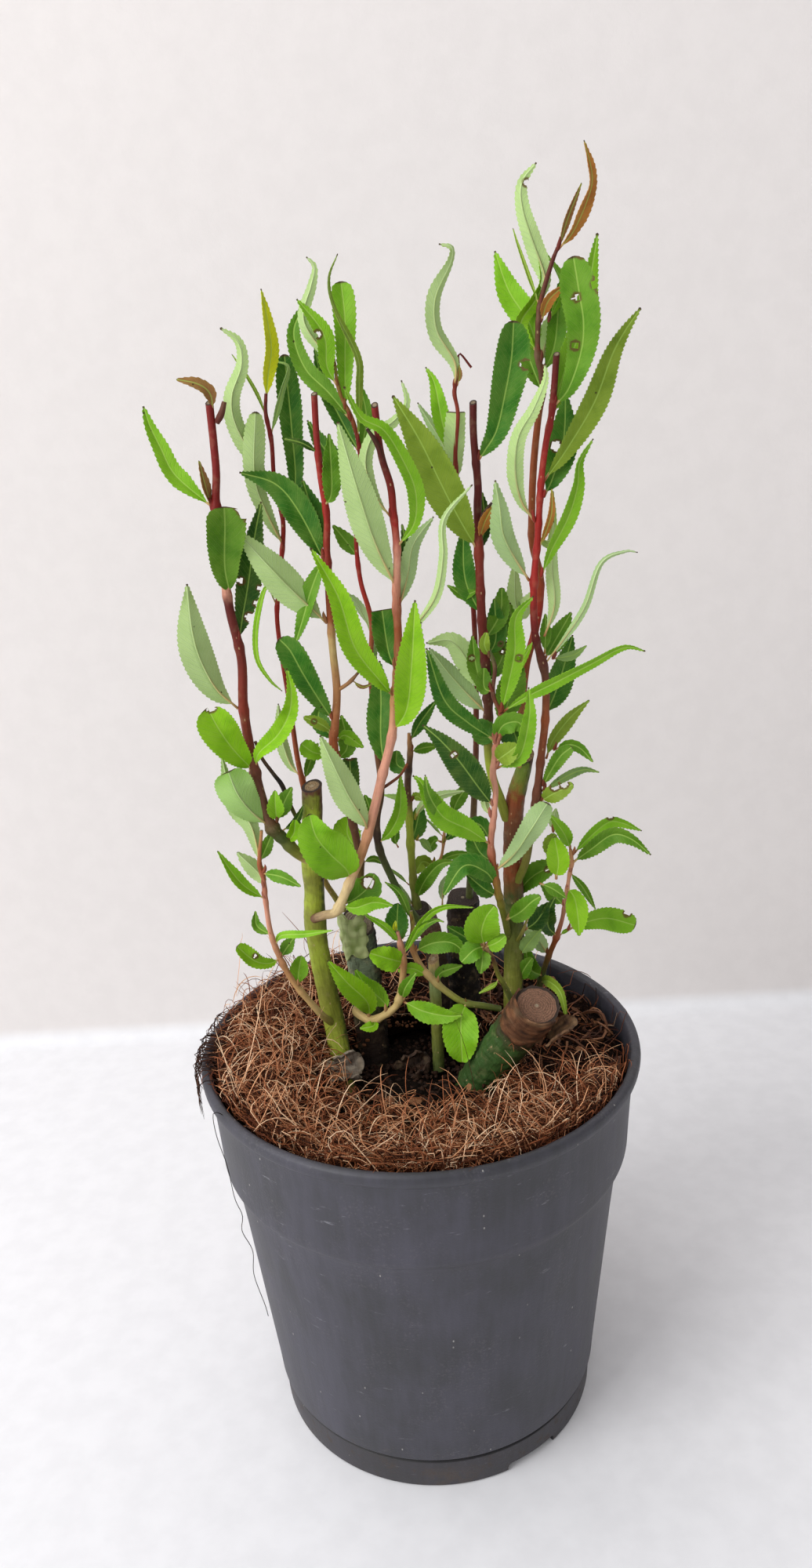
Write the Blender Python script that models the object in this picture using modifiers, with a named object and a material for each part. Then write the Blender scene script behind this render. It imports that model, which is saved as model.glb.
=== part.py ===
"""A potted contorted willow: cut stakes and leafy shoots in a nursery pot with soil and a coir mulch.

Metres, +Z up, the origin at the middle of the pot's underside, the front towards -Y.
Plant parts are placed on an upright board through the pot's axis, as seen from SIGHT:
(x, z) on the board in millimetres, and how far behind the board the part stands.
"""
import math
import random

import bmesh
import bpy
from mathutils import Matrix, Vector, noise

for old in list(bpy.data.objects):
    bpy.data.objects.remove(old)

MM = 0.001
SIGHT = Vector((0.1, -449.5, 451.1))  # where the board is looked at from, mm

# Pot, mm
POT_HEIGHT = 177.0
RIM_R = 95.0
COLLAR_Z, COLLAR_R = 130.0, 89.5
BASE_R, FOOT_H = 72.5, 15.5
WALL = 1.8
FLOOR = 3.0
SOIL_TOP = 156.0
MULCH_TOP = 171.0
GAP = 0.35  # clearance between neighbouring pieces
LEAF_T = 0.8  # leaf thickness in this solid


def at(x, z, depth):
    """The world point, mm, of board place (x, z), depth behind the board."""
    on_board = Vector((x, 0.0, z))
    return SIGHT + (on_board - SIGHT) * ((depth - SIGHT.y) / -SIGHT.y)


# Stakes: board x, board z, depth behind the board, radius
STAKES = {
    "left_cutting": [(-34.5, 150, -4, 4.8), (-36, 180, 6, 4.7), (-39, 205, 8, 4.5), (-41, 225, 10, 4.4),
                     (-40.6, 250, 10, 4.3), (-40.2, 268, 10, 4.3), (-38.7, 285, 10, 4.3), (-38, 296, 10, 4.2)],
    "right_cutting": [(41, 170, 14, 4.5), (41.5, 200, 16, 4.4), (42.5, 225, 18, 4.4), (42.6, 250, 18, 4.3),
                      (43, 272, 18, 4.1), (44.4, 286, 18, 4.0), (47.2, 296, 18, 3.4), (49.4, 304, 18, 2.8)],
    "left_dark_stake": [(-20, 160, 20, 7.4), (-21.5, 195, 24, 7.3), (-22.5, 220, 27, 7.2), (-23.5, 234, 28, 7.0)],
    "back_stake": [(20, 175, 32, 7.2), (20.5, 205, 38, 7.4), (21, 230, 42, 7.4), (21.3, 243, 44, 7.2)],
    "front_stake": [(14, 134, 6, 7.6), (24, 152, -2, 8.0), (35, 168, -12, 8.2), (46, 182, -22, 8.3),
                    (51.5, 189.5, -27, 8.2)],
    "pale_stub": [(7.6, 160, 8, 2.6), (7.8, 195, 13, 2.6), (7.6, 215, 14, 2.4)],
    "knob_stake": [(9, 174, 25, 4.4), (9.5, 200, 27, 4.5), (8.5, 220, 28, 4.6), (5.5, 233, 28, 5.2),
                   (3, 239, 27, 4.2)],
}
CUTS = {  # stake: how its cut face is tilted, as a direction in world space
    "front_stake": (0.28, -0.78, 0.56),
    "left_dark_stake": (0.2, -0.42, 0.88),
    "back_stake": (0.0, -0.2, 0.98),
}

# Shoots: stem stations (board x, board z, depth, radius), then leaves
# (board places from foot to tip, width, depth of the tip against the foot, facing in degrees).
SHOOTS = {
    "shoot_left_tall": (
        [(-42, 264.5, 8, 2.9), (-46.5, 267.5, 4, 2.7), (-51, 273, 2, 2.6), (-56, 280, 0, 2.5), (-58.8, 293, 0, 2.2),
         (-61, 310, 0, 2.1), (-62.3, 330, 0, 2.1), (-61.2, 350, 0, 2.0), (-64, 372, 0, 1.9), (-65, 405, 0, 1.7),
         (-63.6, 420, 0, 1.6), (-63.4, 432, 0, 1.6), (-63.5, 445, 0, 1.6)],
        [([(-62.5, 442), (-64, 449), (-69, 452), (-73.5, 453)], 3, -4, 20),
         ([(-66.2, 408), (-75, 416), (-80, 422), (-83, 430), (-86, 438), (-87.5, 445)], 6, 6, 20),
         ([(-64, 376), (-65, 388), (-64, 400), (-61, 409), (-57, 402)], 13, -10, 0),
         ([(-61.5, 356), (-59, 370), (-55, 388), (-48, 409)], 8, 9, 20),
         ([(-63, 330), (-74, 338), (-79, 355), (-80, 368), (-79, 380)], 11, -8, 200),
         ([(-62, 308), (-68, 314), (-72, 320), (-77, 331)], 14, -14, 0),
         ([(-60, 305), (-58, 311), (-50, 318), (-44.5, 327), (-43, 336), (-44, 345)], 6.5, -16, 10),
         ([(-57, 281), (-62, 287), (-67, 296), (-72, 305)], 17, -12, 200)]),
    "shoot_thin_red": (
        [(-29, 240, 24, 1.6), (-32, 246, 22, 1.5), (-36.5, 256, 20, 1.4), (-39.5, 275, 19, 1.4),
         (-41, 294, 18, 1.3), (-42.8, 308, 18, 1.2), (-44, 330, 18, 1.1), (-46, 362, 18, 1.0),
         (-44, 378, 18, 1.0), (-40.5, 400, 18, 1.0), (-42.4, 415, 18, 0.9), (-42.2, 430, 18, 0.9),
         (-43.4, 440, 18, 0.8), (-42.7, 447, 18, 0.7)],
        [([(-42.9, 444), (-42.5, 455), (-41, 470), (-41.3, 481)], 4, 4, 20),
         ([(-42.3, 413), (-50, 426), (-55, 438), (-55, 447), (-50.5, 457), (-51, 465), (-57, 470)], 5, -6, 30),
         ([(-41, 392), (-46, 404), (-49.5, 418), (-47, 441)], 7, -5, 200),
         ([(-41.5, 405), (-35, 414), (-34.5, 435), (-35, 457)], 8, 10, 10),
         ([(-42, 300), (-46, 306), (-48.5, 318), (-48.5, 331)], 5, 8, 200),
         ([(-45.6, 370), (-49, 377), (-54, 363), (-55, 350), (-51, 341), (-46.5, 336)], 2.5, -7, 40)]),
    "shoot_left_inner": (
        [(-22, 236, 27, 1.9), (-21.5, 250, 18, 1.8), (-20.6, 262, 12, 1.8), (-22, 275, 8, 1.8), (-25, 292, 5, 1.8),
         (-28, 312, 4, 1.8), (-26.6, 322, 4, 1.8), (-25, 336, 4, 1.7), (-25.5, 355, 4, 1.6), (-25, 388, 4, 1.5),
         (-24, 402, 4, 1.4), (-25.2, 418, 4, 1.4), (-25.6, 431, 4, 1.3), (-25.3, 446, 4, 1.3)],
        [([(-26, 385), (-34, 404), (-42, 415), (-55, 420)], 9.5, 6, 15),
         ([(-27, 362), (-38, 374), (-48, 386), (-58, 399)], 11, -9, 200),
         ([(-25.5, 357), (-33, 364), (-29, 376), (-26, 388)], 6, 13, 20),
         ([(-24.5, 406), (-21.5, 412), (-21, 432)], 6, -6, 20),
         ([(-25, 425), (-31, 429), (-37.5, 431)], 2, -4, 20),
         ([(-26.5, 323), (-34, 336), (-41, 346), (-46, 353)], 12, -13, 5),
         ([(-27, 314), (-33, 324), (-31, 330)], 7, 9, 0),
         ([(-27.5, 306), (-22.5, 312), (-24, 325)], 7, 9, 0),
         ([(-21, 266), (-26, 272), (-22, 280)], 10, 8, 0)]),
    "shoot_centre_left": (
        [(-41.5, 237, 6, 2.2), (-37, 238.3, -1, 2.1), (-32.5, 239.3, -3, 2.1), (-29.6, 244, -4, 2.1),
         (-25, 254, -5, 2.1), (-19.5, 266, -5, 2.1), (-15, 279, -6, 2.1), (-9.5, 298, -6, 2.0), (-4.5, 315, -6, 1.9),
         (-2.6, 330, -6, 1.7), (0, 350, -6, 1.7), (0.4, 372, -6, 1.6), (1.6, 388, -6, 1.5), (1, 402, -6, 1.5),
         (0.5, 412, -6, 1.5), (-2.4, 424, -6, 1.4), (-3.7, 441, -6, 1.4)],
        [([(-24.5, 254), (-27, 262), (-35, 272), (-40, 284)], 16, -10, 0),
         ([(-17, 274), (-18, 281), (-26, 296), (-33, 316)], 10, -10, 195),
         ([(-28.8, 245), (-23, 248), (-16, 250), (-13, 256)], 9, 10, 0),
         ([(-8, 301), (-9, 314), (-8, 330), (-7.5, 346)], 9.5, 10, 0),
         ([(-4, 317), (2, 326), (5, 345), (7.5, 367)], 9.5, -12, 5),
         ([(-2.6, 331), (-8, 338), (-17, 352), (-22, 372), (-31, 391)], 8.5, -14, 0),
         ([(0.4, 350), (-4, 356), (-5.5, 366)], 9, 7, 0),
         ([(0.5, 374), (-6, 390), (-11, 408), (-17.5, 436)], 10, -9, 195),
         ([(1.2, 389), (8.5, 398), (9.5, 410), (5, 422), (-1, 432), (-9, 437), (-14.5, 448)], 4.5, -16, 10),
         ([(0.5, 400), (-5, 408), (-8.3, 420), (-5, 430), (3, 435), (8, 441), (6.5, 449)], 3, 13, 200),
         ([(0, 378), (-4, 390), (-6, 405)], 4, 8, 0),
         ([(1, 366), (5, 378), (8, 390), (16, 400)], 3.5, 7, 10),
         ([(0, 352), (9, 361), (16, 371), (19, 385), (20, 399), (31, 411)], 2.2, -7, 40)]),
    "shoot_centre_thin": (
        [(3, 232, 23, 1.8), (-3, 242, 18, 1.7), (-8.5, 255, 16, 1.7), (-12.5, 268, 14, 1.7), (-12.6, 280, 13, 1.6),
         (-10, 294, 12, 1.5), (-11.5, 320, 11, 1.2), (-11, 345, 10, 1.1), (-9.8, 362, 10, 1.1), (-13, 378, 10, 1.0),
         (-13.5, 395, 10, 0.9), (-11, 412, 10, 0.9), (-10, 424, 10, 0.8), (-12, 436, 10, 0.8),
         (-16, 446, 10, 0.7), (-17.6, 459, 10, 0.6), (-19, 466, 10, 0.6)],
        [([(-16.5, 448), (-20, 455), (-20.5, 466), (-29, 478)], 4.5, -4, 10),
         ([(-15.5, 445), (-13, 463), (-12.5, 481)], 7, 6, 0),
         ([(-10.5, 428), (-9, 448), (-9, 458), (-16, 474), (-17.3, 484), (-13.5, 492)], 2.2, -5, 30),
         ([(-10, 424), (-7, 437), (-9, 450)], 4, 6, 10),
         ([(-12.5, 436), (-20, 446), (-28, 455), (-31, 467), (-26, 477)], 5, 8, 10),
         ([(-11, 412), (-17, 418), (-24, 428), (-28.5, 437)], 7, 6, 20),
         ([(-13, 386), (-17, 392), (-22, 399)], 5, 7, 10),
         ([(-11, 340), (-10, 356), (-15, 369), (-19, 373)], 5, 8, 30),
         ([(-12.5, 276), (-15, 284), (-17, 291)], 6, 8, 10),
         ([(-13, 269), (-7, 275), (-3, 284), (-2, 299)], 4.5, -6, 10)]),
    "shoot_centre_short": (
        [(4.5, 233, 29, 2.4), (1.5, 243, 28, 2.2), (0.7, 262, 26, 2.1), (0.6, 280, 26, 2.0), (0.8, 295, 26, 1.9),
         (2.4, 307, 26, 1.5), (2.4, 316, 26, 0.9)],
        [([(2.4, 308), (8, 309.5), (14, 310)], 4, 6, 10),
         ([(2.4, 312), (7, 320), (14, 329)], 4, 8, 20),
         ([(2, 300), (-3, 303), (-3, 309)], 6, 8, 0),
         ([(0.8, 283), (-2, 288), (-9, 290)], 2.6, 9, 20),
         ([(0.8, 268), (3, 275), (6, 286)], 7.5, 9, 0),
         ([(0.8, 253), (8, 261), (19, 259)], 7, 9, 10),
         ([(0.8, 248), (6, 257), (14, 259), (27, 257)], 6, -9, 0),
         ([(0.5, 243), (-4, 252), (-11, 260)], 3.5, -8, 20)]),
    "shoot_mid_rod": (
        [(40.5, 277, 17, 2.3), (38, 286, 15, 2.2), (35, 296, 13, 2.1), (33.8, 310, 12, 2.1), (34.4, 330, 11, 2.0),
         (33, 356, 10, 1.9), (32.6, 383, 10, 1.8), (32.6, 402, 10, 1.7), (33, 411, 10, 1.6), (32, 428, 10, 1.5),
         (32.2, 440, 10, 1.5)],
        [([(32, 387), (28, 394), (21, 408), (12, 428), (3, 443)], 12.5, -9, 0),
         ([(33, 419), (38, 425), (43, 442), (47, 466)], 12, -7, 0),
         ([(32.6, 390), (35, 397), (38.5, 403)], 4, -4, 10),
         ([(32.6, 385), (35, 396), (34.5, 408)], 4, 6, 0),
         ([(33, 361), (27, 376), (27, 396)], 7.5, 4, 0),
         ([(33, 330), (30, 342), (29, 354)], 6, 8, 0),
         ([(34, 345), (38, 352), (38, 368)], 7.5, 8, 0),
         ([(34, 352), (40, 362), (41, 372)], 6, 12, 0),
         ([(34, 322), (26, 331), (19, 340), (12, 350)], 8, 9, 195),
         ([(34, 330), (28, 342), (21, 352), (11, 352)], 8.5, 16, 195)]),
    "shoot_mid_bud": (
        [(32, 452, 6, 0.5), (27.7, 457, 6, 0.4), (27.4, 450, 6, 0.6), (25.5, 444, 6, 0.7), (26.5, 436, 6, 0.8),
         (25, 420, 9, 0.9), (26.5, 400, 16, 1.0), (29, 380, 24, 1.1), (30, 350, 32, 1.2), (29, 310, 38, 1.4),
         (27, 280, 38, 1.6), (25, 255, 42, 1.8), (23.5, 238, 45, 1.8)],
        [([(25.5, 445), (26, 454), (20, 465), (20, 476), (26, 487), (26.5, 492), (22, 493.3)], 4.5, -6, 200),
         ([(25, 420), (21, 432), (18.5, 447), (15.5, 453)], 5, 6, 10),
         ([(25.5, 412), (25, 425), (26, 436)], 6, -6, 190),
         ([(25.8, 408), (21, 425), (12, 441)], 3.5, 12, 190)]),
    "shoot_right_red": (
        [(44.5, 249, 15, 2.4), (48, 258, 11, 2.3), (50.5, 272, 9, 2.2), (53, 287, 8, 2.1), (55, 303, 8, 2.1),
         (57, 320, 8, 2.0), (57, 337, 8, 2.0), (53.4, 353, 8, 1.9), (53.2, 372, 8, 1.8), (55, 390, 8, 1.7),
         (56.5, 410, 8, 1.6), (58.5, 424, 8, 1.6), (61, 436, 8, 1.6), (62.8, 455, 8, 1.6)],
        [([(61.3, 437), (66, 446), (69, 462), (70, 486)], 13, -8, 0),
         ([(59, 430), (66, 450), (72, 470), (77, 493)], 9, 8, 10),
         ([(57.5, 405), (61, 415), (64, 430), (66, 441)], 8.5, 9, 10),
         ([(55, 388), (62, 395), (69, 408), (75, 424)], 4.5, -6, 10),
         ([(53.3, 375), (46, 383), (41, 396), (39, 411)], 6.5, -8, 195),
         ([(55.8, 396), (48.5, 406), (47.5, 418), (51, 430), (58, 441), (58, 453)], 5, -9, 195),
         ([(56, 398), (59, 403), (61, 406)], 2.5, 5, 20),
         ([(57, 410), (67, 423), (78, 445), (92, 468)], 7, 12, 20),
         ([(57, 343), (61, 350), (67.5, 360)], 7, 10, 10),
         ([(57, 320), (62, 332), (68, 352)], 9, 14, 10),
         ([(57, 341), (65, 351), (73, 363), (79, 379), (88, 383), (92, 382.5)], 2.2, -6, 40),
         ([(57, 345), (57.5, 353), (57.5, 361)], 3.5, 5, 0),
         ([(56, 298), (60, 309), (67, 319), (74.5, 325)], 6, 8, 15),
         ([(54, 288), (60, 299), (66, 306), (76, 300)], 6.5, -8, 10),
         ([(54, 289), (62, 293), (71, 296.5), (78.5, 295)], 3.5, 9, 20),
         ([(53, 282), (60, 287.5), (68, 290)], 6.5, -5, 190)]),
    "shoot_right_back": (
        [(47, 299, 17, 1.9), (47.4, 320, 20, 1.8), (49.5, 340, 20, 1.8), (53, 353, 20, 1.7), (55.2, 364, 20, 1.7),
         (55.6, 376, 18, 1.6), (53, 388, 17, 1.6), (53, 402, 17, 1.5), (54, 418, 17, 1.5), (56, 434, 17, 1.4),
         (57.6, 442, 17, 1.3), (57.4, 448, 17, 1.2), (56, 456, 17, 1.1), (57, 471, 17, 1.0), (61, 484, 17, 0.9),
         (63.5, 490, 17, 0.7)],
        [([(63.4, 489), (70, 499), (75.5, 508), (72.8, 522)], 4, -5, 30),
         ([(63.5, 489), (67, 499), (72, 510)], 2.2, 5, 30),
         ([(57.3, 471), (58, 481), (54, 495), (52, 508), (56, 518)], 5, 5, 190),
         ([(56.5, 455), (53, 466), (46, 477), (41.5, 490)], 8, 8, 0),
         ([(56.2, 460), (60, 478), (59, 491)], 4.5, 10, 10),
         ([(57, 452), (60, 462), (66, 472)], 6, 11, 190),
         ([(57.4, 442), (52, 456), (50, 462)], 6, 10, 10),
         ([(57.4, 466), (60, 473), (66, 478)], 3, -6, 20),
         ([(53, 392), (60, 388), (61, 407)], 2.4, 7, 10),
         ([(55.4, 372), (47, 363), (46, 382)], 6, 8, 190)]),
    "shoot_sinuous": (
        [(41, 214, 16, 2.2), (38.5, 226, 8, 2.0), (36.2, 243, 4, 1.9), (34.6, 256, 3, 1.8), (33.7, 266, 2, 1.8),
         (35.4, 280, 1, 1.7), (36.3, 290, 1, 1.7), (35.4, 297, 1, 1.6), (37, 308, 1, 1.5), (39.5, 316, 1, 1.3),
         (39.3, 322, 1, 1.2), (36.4, 330, 1, 1.1), (37.4, 341, 1, 1.2), (35, 348, 1, 1.4)],
        [([(39.3, 322), (48, 327.5), (60, 333), (75, 340), (88, 346), (96, 344)], 4, -8, 10),
         ([(36.6, 311), (26, 319), (17, 329), (11, 350)], 6, -10, 10),
         ([(36.5, 283), (30, 294), (20, 308), (8, 318)], 9.5, -14, 0),
         ([(33.7, 266), (28, 273), (15, 280), (9, 290), (3, 297)], 8, -16, 10),
         ([(35, 254), (41, 259), (49, 271), (57.5, 283)], 9, -12, 195),
         ([(36.5, 299), (42, 301), (47, 305), (50.5, 320), (50.5, 331)], 5.5, -9, 190),
         ([(37, 305), (42, 305), (45, 309)], 8, -6, 0),
         ([(39.5, 316), (42, 326), (47, 342)], 10, 6, 0),
         ([(37, 309), (33, 314), (30, 320)], 9, 7, 0),
         ([(39.3, 322), (45, 345), (46, 360), (53, 367.5)], 6.5, -4, 10),
         ([(36.5, 331), (33, 333), (33, 341)], 5, 5, 0),
         ([(34.5, 258), (29, 263), (25, 273)], 8, 6, 0),
         ([(35.5, 247), (31, 254), (22, 257), (13, 244)], 8.5, -7, 0)]),
    "shoot_low_left": (
        [(-38, 187, 4, 1.9), (-42, 191, -2, 1.7), (-47.5, 199, -5, 1.5), (-53, 208, -6, 1.4), (-57.5, 219, -6, 1.3),
         (-60.5, 232, -6, 1.2), (-61.2, 246, -6, 1.1), (-61.2, 256, -6, 1.0), (-62.2, 264, -6, 0.9),
         (-60, 278, -6, 0.7)],
        [([(-61, 247), (-69, 253), (-74, 260), (-79, 270)], 4, -5, 10),
         ([(-61.3, 252), (-63, 259), (-71, 269)], 5.5, 6, 190),
         ([(-61.5, 259), (-54, 257), (-46, 252)], 4.5, -8, 10),
         ([(-62, 264), (-59, 270), (-55, 278)], 4.5, 12, 0),
         ([(-61.8, 262), (-64, 280), (-70, 290), (-73, 311)], 5, 8, 190),
         ([(-57.5, 219), (-63, 217), (-69, 219), (-75.5, 226)], 6.5, -8, 10),
         ([(-58.8, 226), (-56, 230), (-46, 230), (-34, 231)], 2.4, -12, 10),
         ([(-57.5, 219), (-55, 223), (-50.5, 229)], 4.5, 4, 0),
         ([(-51, 205), (-50.5, 211), (-48.5, 220)], 6.5, 6, 0)]),
    "shoot_low_centre": (
        [(-24, 194, 17, 2.2), (-27, 191.5, 10, 2.0), (-21, 187, 5, 1.9), (-15, 189, 3, 1.8), (-9, 194, 2, 1.7),
         (-6.4, 204, 2, 1.6), (-5.2, 214, 2, 1.5), (-6, 222, 2, 1.2), (-7, 229, 2, 0.8)],
        [([(-21.5, 188), (-22, 196), (-30, 206), (-37.5, 216)], 9, -8, 0),
         ([(-14, 190), (-14.5, 195), (-22, 204), (-26, 211)], 8, 5, 0),
         ([(-19, 187.5), (-20, 184), (-26, 183)], 4, -6, 0),
         ([(-6.8, 195.5), (2, 190), (12, 187), (19, 187)], 7.5, -10, 0),
         ([(-7, 196), (-5, 202), (0, 209)], 4.5, -5, 0),
         ([(-4.9, 214), (-11, 216), (-19.5, 219.5)], 9, -7, 0),
         ([(-6, 223), (-12, 231), (-21, 238)], 2.4, -4, 20),
         ([(-6, 222), (-7, 231), (-6, 240)], 9, 6, 0),
         ([(-5.5, 219), (2, 229), (9, 233), (13, 232)], 3, -6, 20),
         ([(-5.2, 217), (4, 233), (13, 239), (26, 238)], 2.6, -9, 20)]),
    "shoot_low_right": (
        [(35.5, 189, 5, 1.5), (28, 191, 3, 1.6), (20, 193, 3, 1.6), (12.5, 199, 5, 1.6), (6, 206, 6, 1.7),
         (1.5, 213, 7, 1.6), (-1.2, 222, 7, 1.2), (-0.4, 231, 7, 1.0), (-0.8, 238, 7, 0.8)],
        [([(21, 193), (18.5, 186), (18, 175), (18.2, 164)], 14, -14, 0),
         ([(-0.3, 219), (8, 222.5), (16, 222), (22, 216)], 8, -5, 0),
         ([(9, 203), (10.5, 208), (20, 211)], 4, 8, 0),
         ([(-0.5, 233), (-5, 246), (-11, 252)], 2.6, 6, 10)]),
    "shoot_low_fork": (
        [(41, 192, 12, 1.8), (38.2, 199, 6, 1.5), (34.5, 208, 3, 1.3), (32.5, 214, 2, 1.2), (29, 219.5, 0, 1.0)],
        [([(29, 219), (27, 226), (30, 234), (35, 238)], 12.5, -7, 0),
         ([(29.5, 219.5), (25, 217), (20.5, 213)], 9, -6, 0),
         ([(30, 219), (35, 221), (39, 224)], 6, -5, 0),
         ([(29, 219), (25, 222), (14, 230)], 7, 13, 0),
         ([(36.5, 203), (32, 200), (26.5, 197.5)], 2, -6, 20)]),
    "shoot_small_pale": (
        [(43.5, 221, 15, 1.3), (46.2, 226, 8, 0.9), (49.5, 235, 5, 0.8), (52.5, 241, 4, 0.6)],
        [([(50, 236), (46, 236), (40, 233)], 7.5, -6, 0),
         ([(51.5, 239), (45, 243), (49, 249), (54, 252)], 7, -5, 0),
         ([(52.5, 241), (57, 246), (62, 254), (64, 262)], 9, 5, 0)]),
    "shoot_low_far_right": (
        [(50, 178, 28, 2.6), (53, 200, 28, 2.3), (56.5, 212, 24, 2.0), (60, 221, 21, 1.9), (63, 231, 18, 1.5),
         (64.6, 241, 16, 1.4), (66, 250, 15, 1.3), (67, 256, 15, 1.2), (66.6, 262, 15, 1.1)],
        [([(67, 259), (75, 268), (84, 272), (96, 268.5)], 5, 1, 10),
         ([(67.2, 255), (76, 261), (87, 266), (100, 257.5)], 7, -17, 10),
         ([(66.6, 262), (64, 269), (58, 278)], 5, -5, 10),
         ([(66, 252), (72, 244), (77, 234)], 2.6, 5, 20),
         ([(64.6, 245), (68, 240), (69.5, 231), (70, 222)], 8, -9, 0),
         ([(61.5, 223), (70, 226), (80, 228), (92, 226)], 12, 5, 0),
         ([(60.5, 222.5), (57, 227), (57, 234), (60, 241)], 6, -9, 20),
         ([(64, 236), (59, 242), (54, 247)], 6, 7, 0),
         ([(57, 213), (52, 222), (46, 228)], 6, 9, 190),
         ([(54, 204), (49, 208), (46.5, 222)], 7, -12, 0)]),
}

COLOURS = {
    "pot": ((0.072, 0.080, 0.105), 0.55),
    "soil": ((0.020, 0.013, 0.009), 1.0),
    "mulch": ((0.30, 0.16, 0.075), 0.95),
    "stake": ((0.070, 0.075, 0.028), 0.75),
    "cutting": ((0.24, 0.28, 0.045), 0.55),
    "shoot": ((0.13, 0.27, 0.03), 0.5),
}
SCENE = bpy.context.scene.collection
TOOLS = bpy.data.collections.new("tools")
SCENE.children.link(TOOLS)


def material(slot):
    """The Principled material of this slot, made once."""
    if slot in bpy.data.materials:
        return bpy.data.materials[slot]
    colour, roughness = COLOURS[slot]
    made = bpy.data.materials.new(slot)
    made.use_nodes = True
    shader = made.node_tree.nodes["Principled BSDF"]
    shader.inputs["Base Color"].default_value = (*colour, 1)
    shader.inputs["Roughness"].default_value = roughness
    return made


def add(name, mesh, slot=None):
    """An object of this mesh: a node with its material, or a hidden helper without one."""
    made = bpy.data.objects.new(name, mesh)
    if slot:
        own = material(slot).copy()
        own.name = "mat_" + name
        mesh.materials.clear()
        mesh.materials.append(own)
        SCENE.objects.link(made)
    else:
        made.hide_render = True
        made.display_type = "WIRE"
        TOOLS.objects.link(made)
    return made


def mesh_of(obj):
    """A new mesh holding the object as its modifiers leave it, coincident points merged."""
    bpy.context.view_layer.update()
    made = bpy.data.meshes.new_from_object(obj.evaluated_get(bpy.context.evaluated_depsgraph_get()))
    bm = bmesh.new()
    bm.from_mesh(made)
    bmesh.ops.remove_doubles(bm, verts=bm.verts, dist=1e-6)
    bmesh.ops.recalc_face_normals(bm, faces=bm.faces)
    bm.to_mesh(made)
    bm.free()
    return made


def rod(stations, extra=0.0, sides=1):
    """A round rod through the stations as a mesh, extra millimetres fatter than its table says."""
    curve = bpy.data.curves.new("rod", "CURVE")
    curve.dimensions = "3D"
    curve.bevel_depth = MM
    curve.bevel_resolution = sides
    curve.use_fill_caps = True
    spline = curve.splines.new("POLY")
    spline.points.add(len(stations) - 1)
    for point, (x, z, depth, radius) in zip(spline.points, stations):
        point.co = (*(at(x, z, depth) * MM), 1)
        point.radius = radius + extra
    guide = add("guide", curve)
    mesh = mesh_of(guide)
    bpy.data.objects.remove(guide)
    return mesh


def along(points, t):
    """The place a share t of the way along a bent line, and its direction there."""
    lengths = [(b - a).length for a, b in zip(points, points[1:])]
    left = t * sum(lengths)
    for (a, b), length in zip(zip(points, points[1:]), lengths):
        if left <= length or b is points[-1]:
            return a.lerp(b, min(1.0, left / length)), (b - a).normalized()
        left -= length


def depth_at(stem, x, z):
    """How deep the stem lies where it passes nearest to board place (x, z)."""
    best = (1e9, 0.0)
    for (x0, z0, d0, _), (x1, z1, d1, _) in zip(stem, stem[1:]):
        run, rise = x1 - x0, z1 - z0
        t = max(0.0, min(1.0, ((x - x0) * run + (z - z0) * rise) / (run * run + rise * rise)))
        away = math.hypot(x0 + t * run - x, z0 + t * rise - z)
        best = min(best, (away, d0 + t * (d1 - d0)))
    return best[1]


def blade(places, width, reach, facing, foot_depth):
    """One leaf as a thin closed blade: a grid laid along its midrib, given its outline and thickness."""
    rows = 5
    share = [i / (len(places) - 1) for i in range(len(places))]
    spine = [at(x, z, foot_depth + reach * math.sin(0.5 * math.pi * s)) for (x, z), s in zip(places, share)]
    bm = bmesh.new()
    bmesh.ops.create_grid(bm, x_segments=1, y_segments=rows, size=1.0)
    for vert in bm.verts:
        side, t = vert.co.x, (vert.co.y + 1) / 2
        place, way = along(spine, t)
        sight = (SIGHT - place).normalized()
        across = way.cross(sight).normalized()
        turn = math.radians(facing)
        across = across * math.cos(turn) + way.cross(across) * math.sin(turn)
        half = max(0.35, 0.5 * width * math.sin(math.pi * (0.04 + 0.94 * t) ** 0.85) ** 0.8)
        vert.co = (place + across * side * half) * MM
    mesh = bpy.data.meshes.new("blade")
    bm.to_mesh(mesh)
    bm.free()
    leaf = add("blade", mesh)
    thicken = leaf.modifiers.new("thickness", "SOLIDIFY")
    thicken.thickness = LEAF_T * MM
    thicken.offset = 0.0
    whole = mesh_of(leaf)
    bpy.data.objects.remove(leaf)
    return whole


def boolean(obj, other, operation):
    """Adds an exact Boolean of obj with a hidden helper, and applies it."""
    step = obj.modifiers.new(operation.lower(), "BOOLEAN")
    step.operation = operation
    step.solver = "EXACT"
    step.object = other
    old = obj.data
    mesh = mesh_of(obj)
    obj.modifiers.clear()
    obj.data = mesh
    bpy.data.meshes.remove(old)
    return obj


def turned(name, profile, slot, steps=36):
    """A solid of revolution about the pot's axis from a closed outline of (radius, height), mm."""
    bm = bmesh.new()
    verts = [bm.verts.new((r * MM, 0, z * MM)) for r, z in profile]
    for a, b in zip(verts, verts[1:]):
        bm.edges.new((a, b))
    if profile[0][0] > 0:
        bm.edges.new((verts[-1], verts[0]))
    mesh = bpy.data.meshes.new(name)
    bm.to_mesh(mesh)
    bm.free()
    guide = add(name + "_outline", mesh)
    screw = guide.modifiers.new("turn", "SCREW")
    screw.steps = screw.render_steps = steps
    screw.use_merge_vertices = True
    screw.merge_threshold = 0.00001
    whole = mesh_of(guide)
    bpy.data.objects.remove(guide)
    return add(name, whole, slot)


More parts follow.
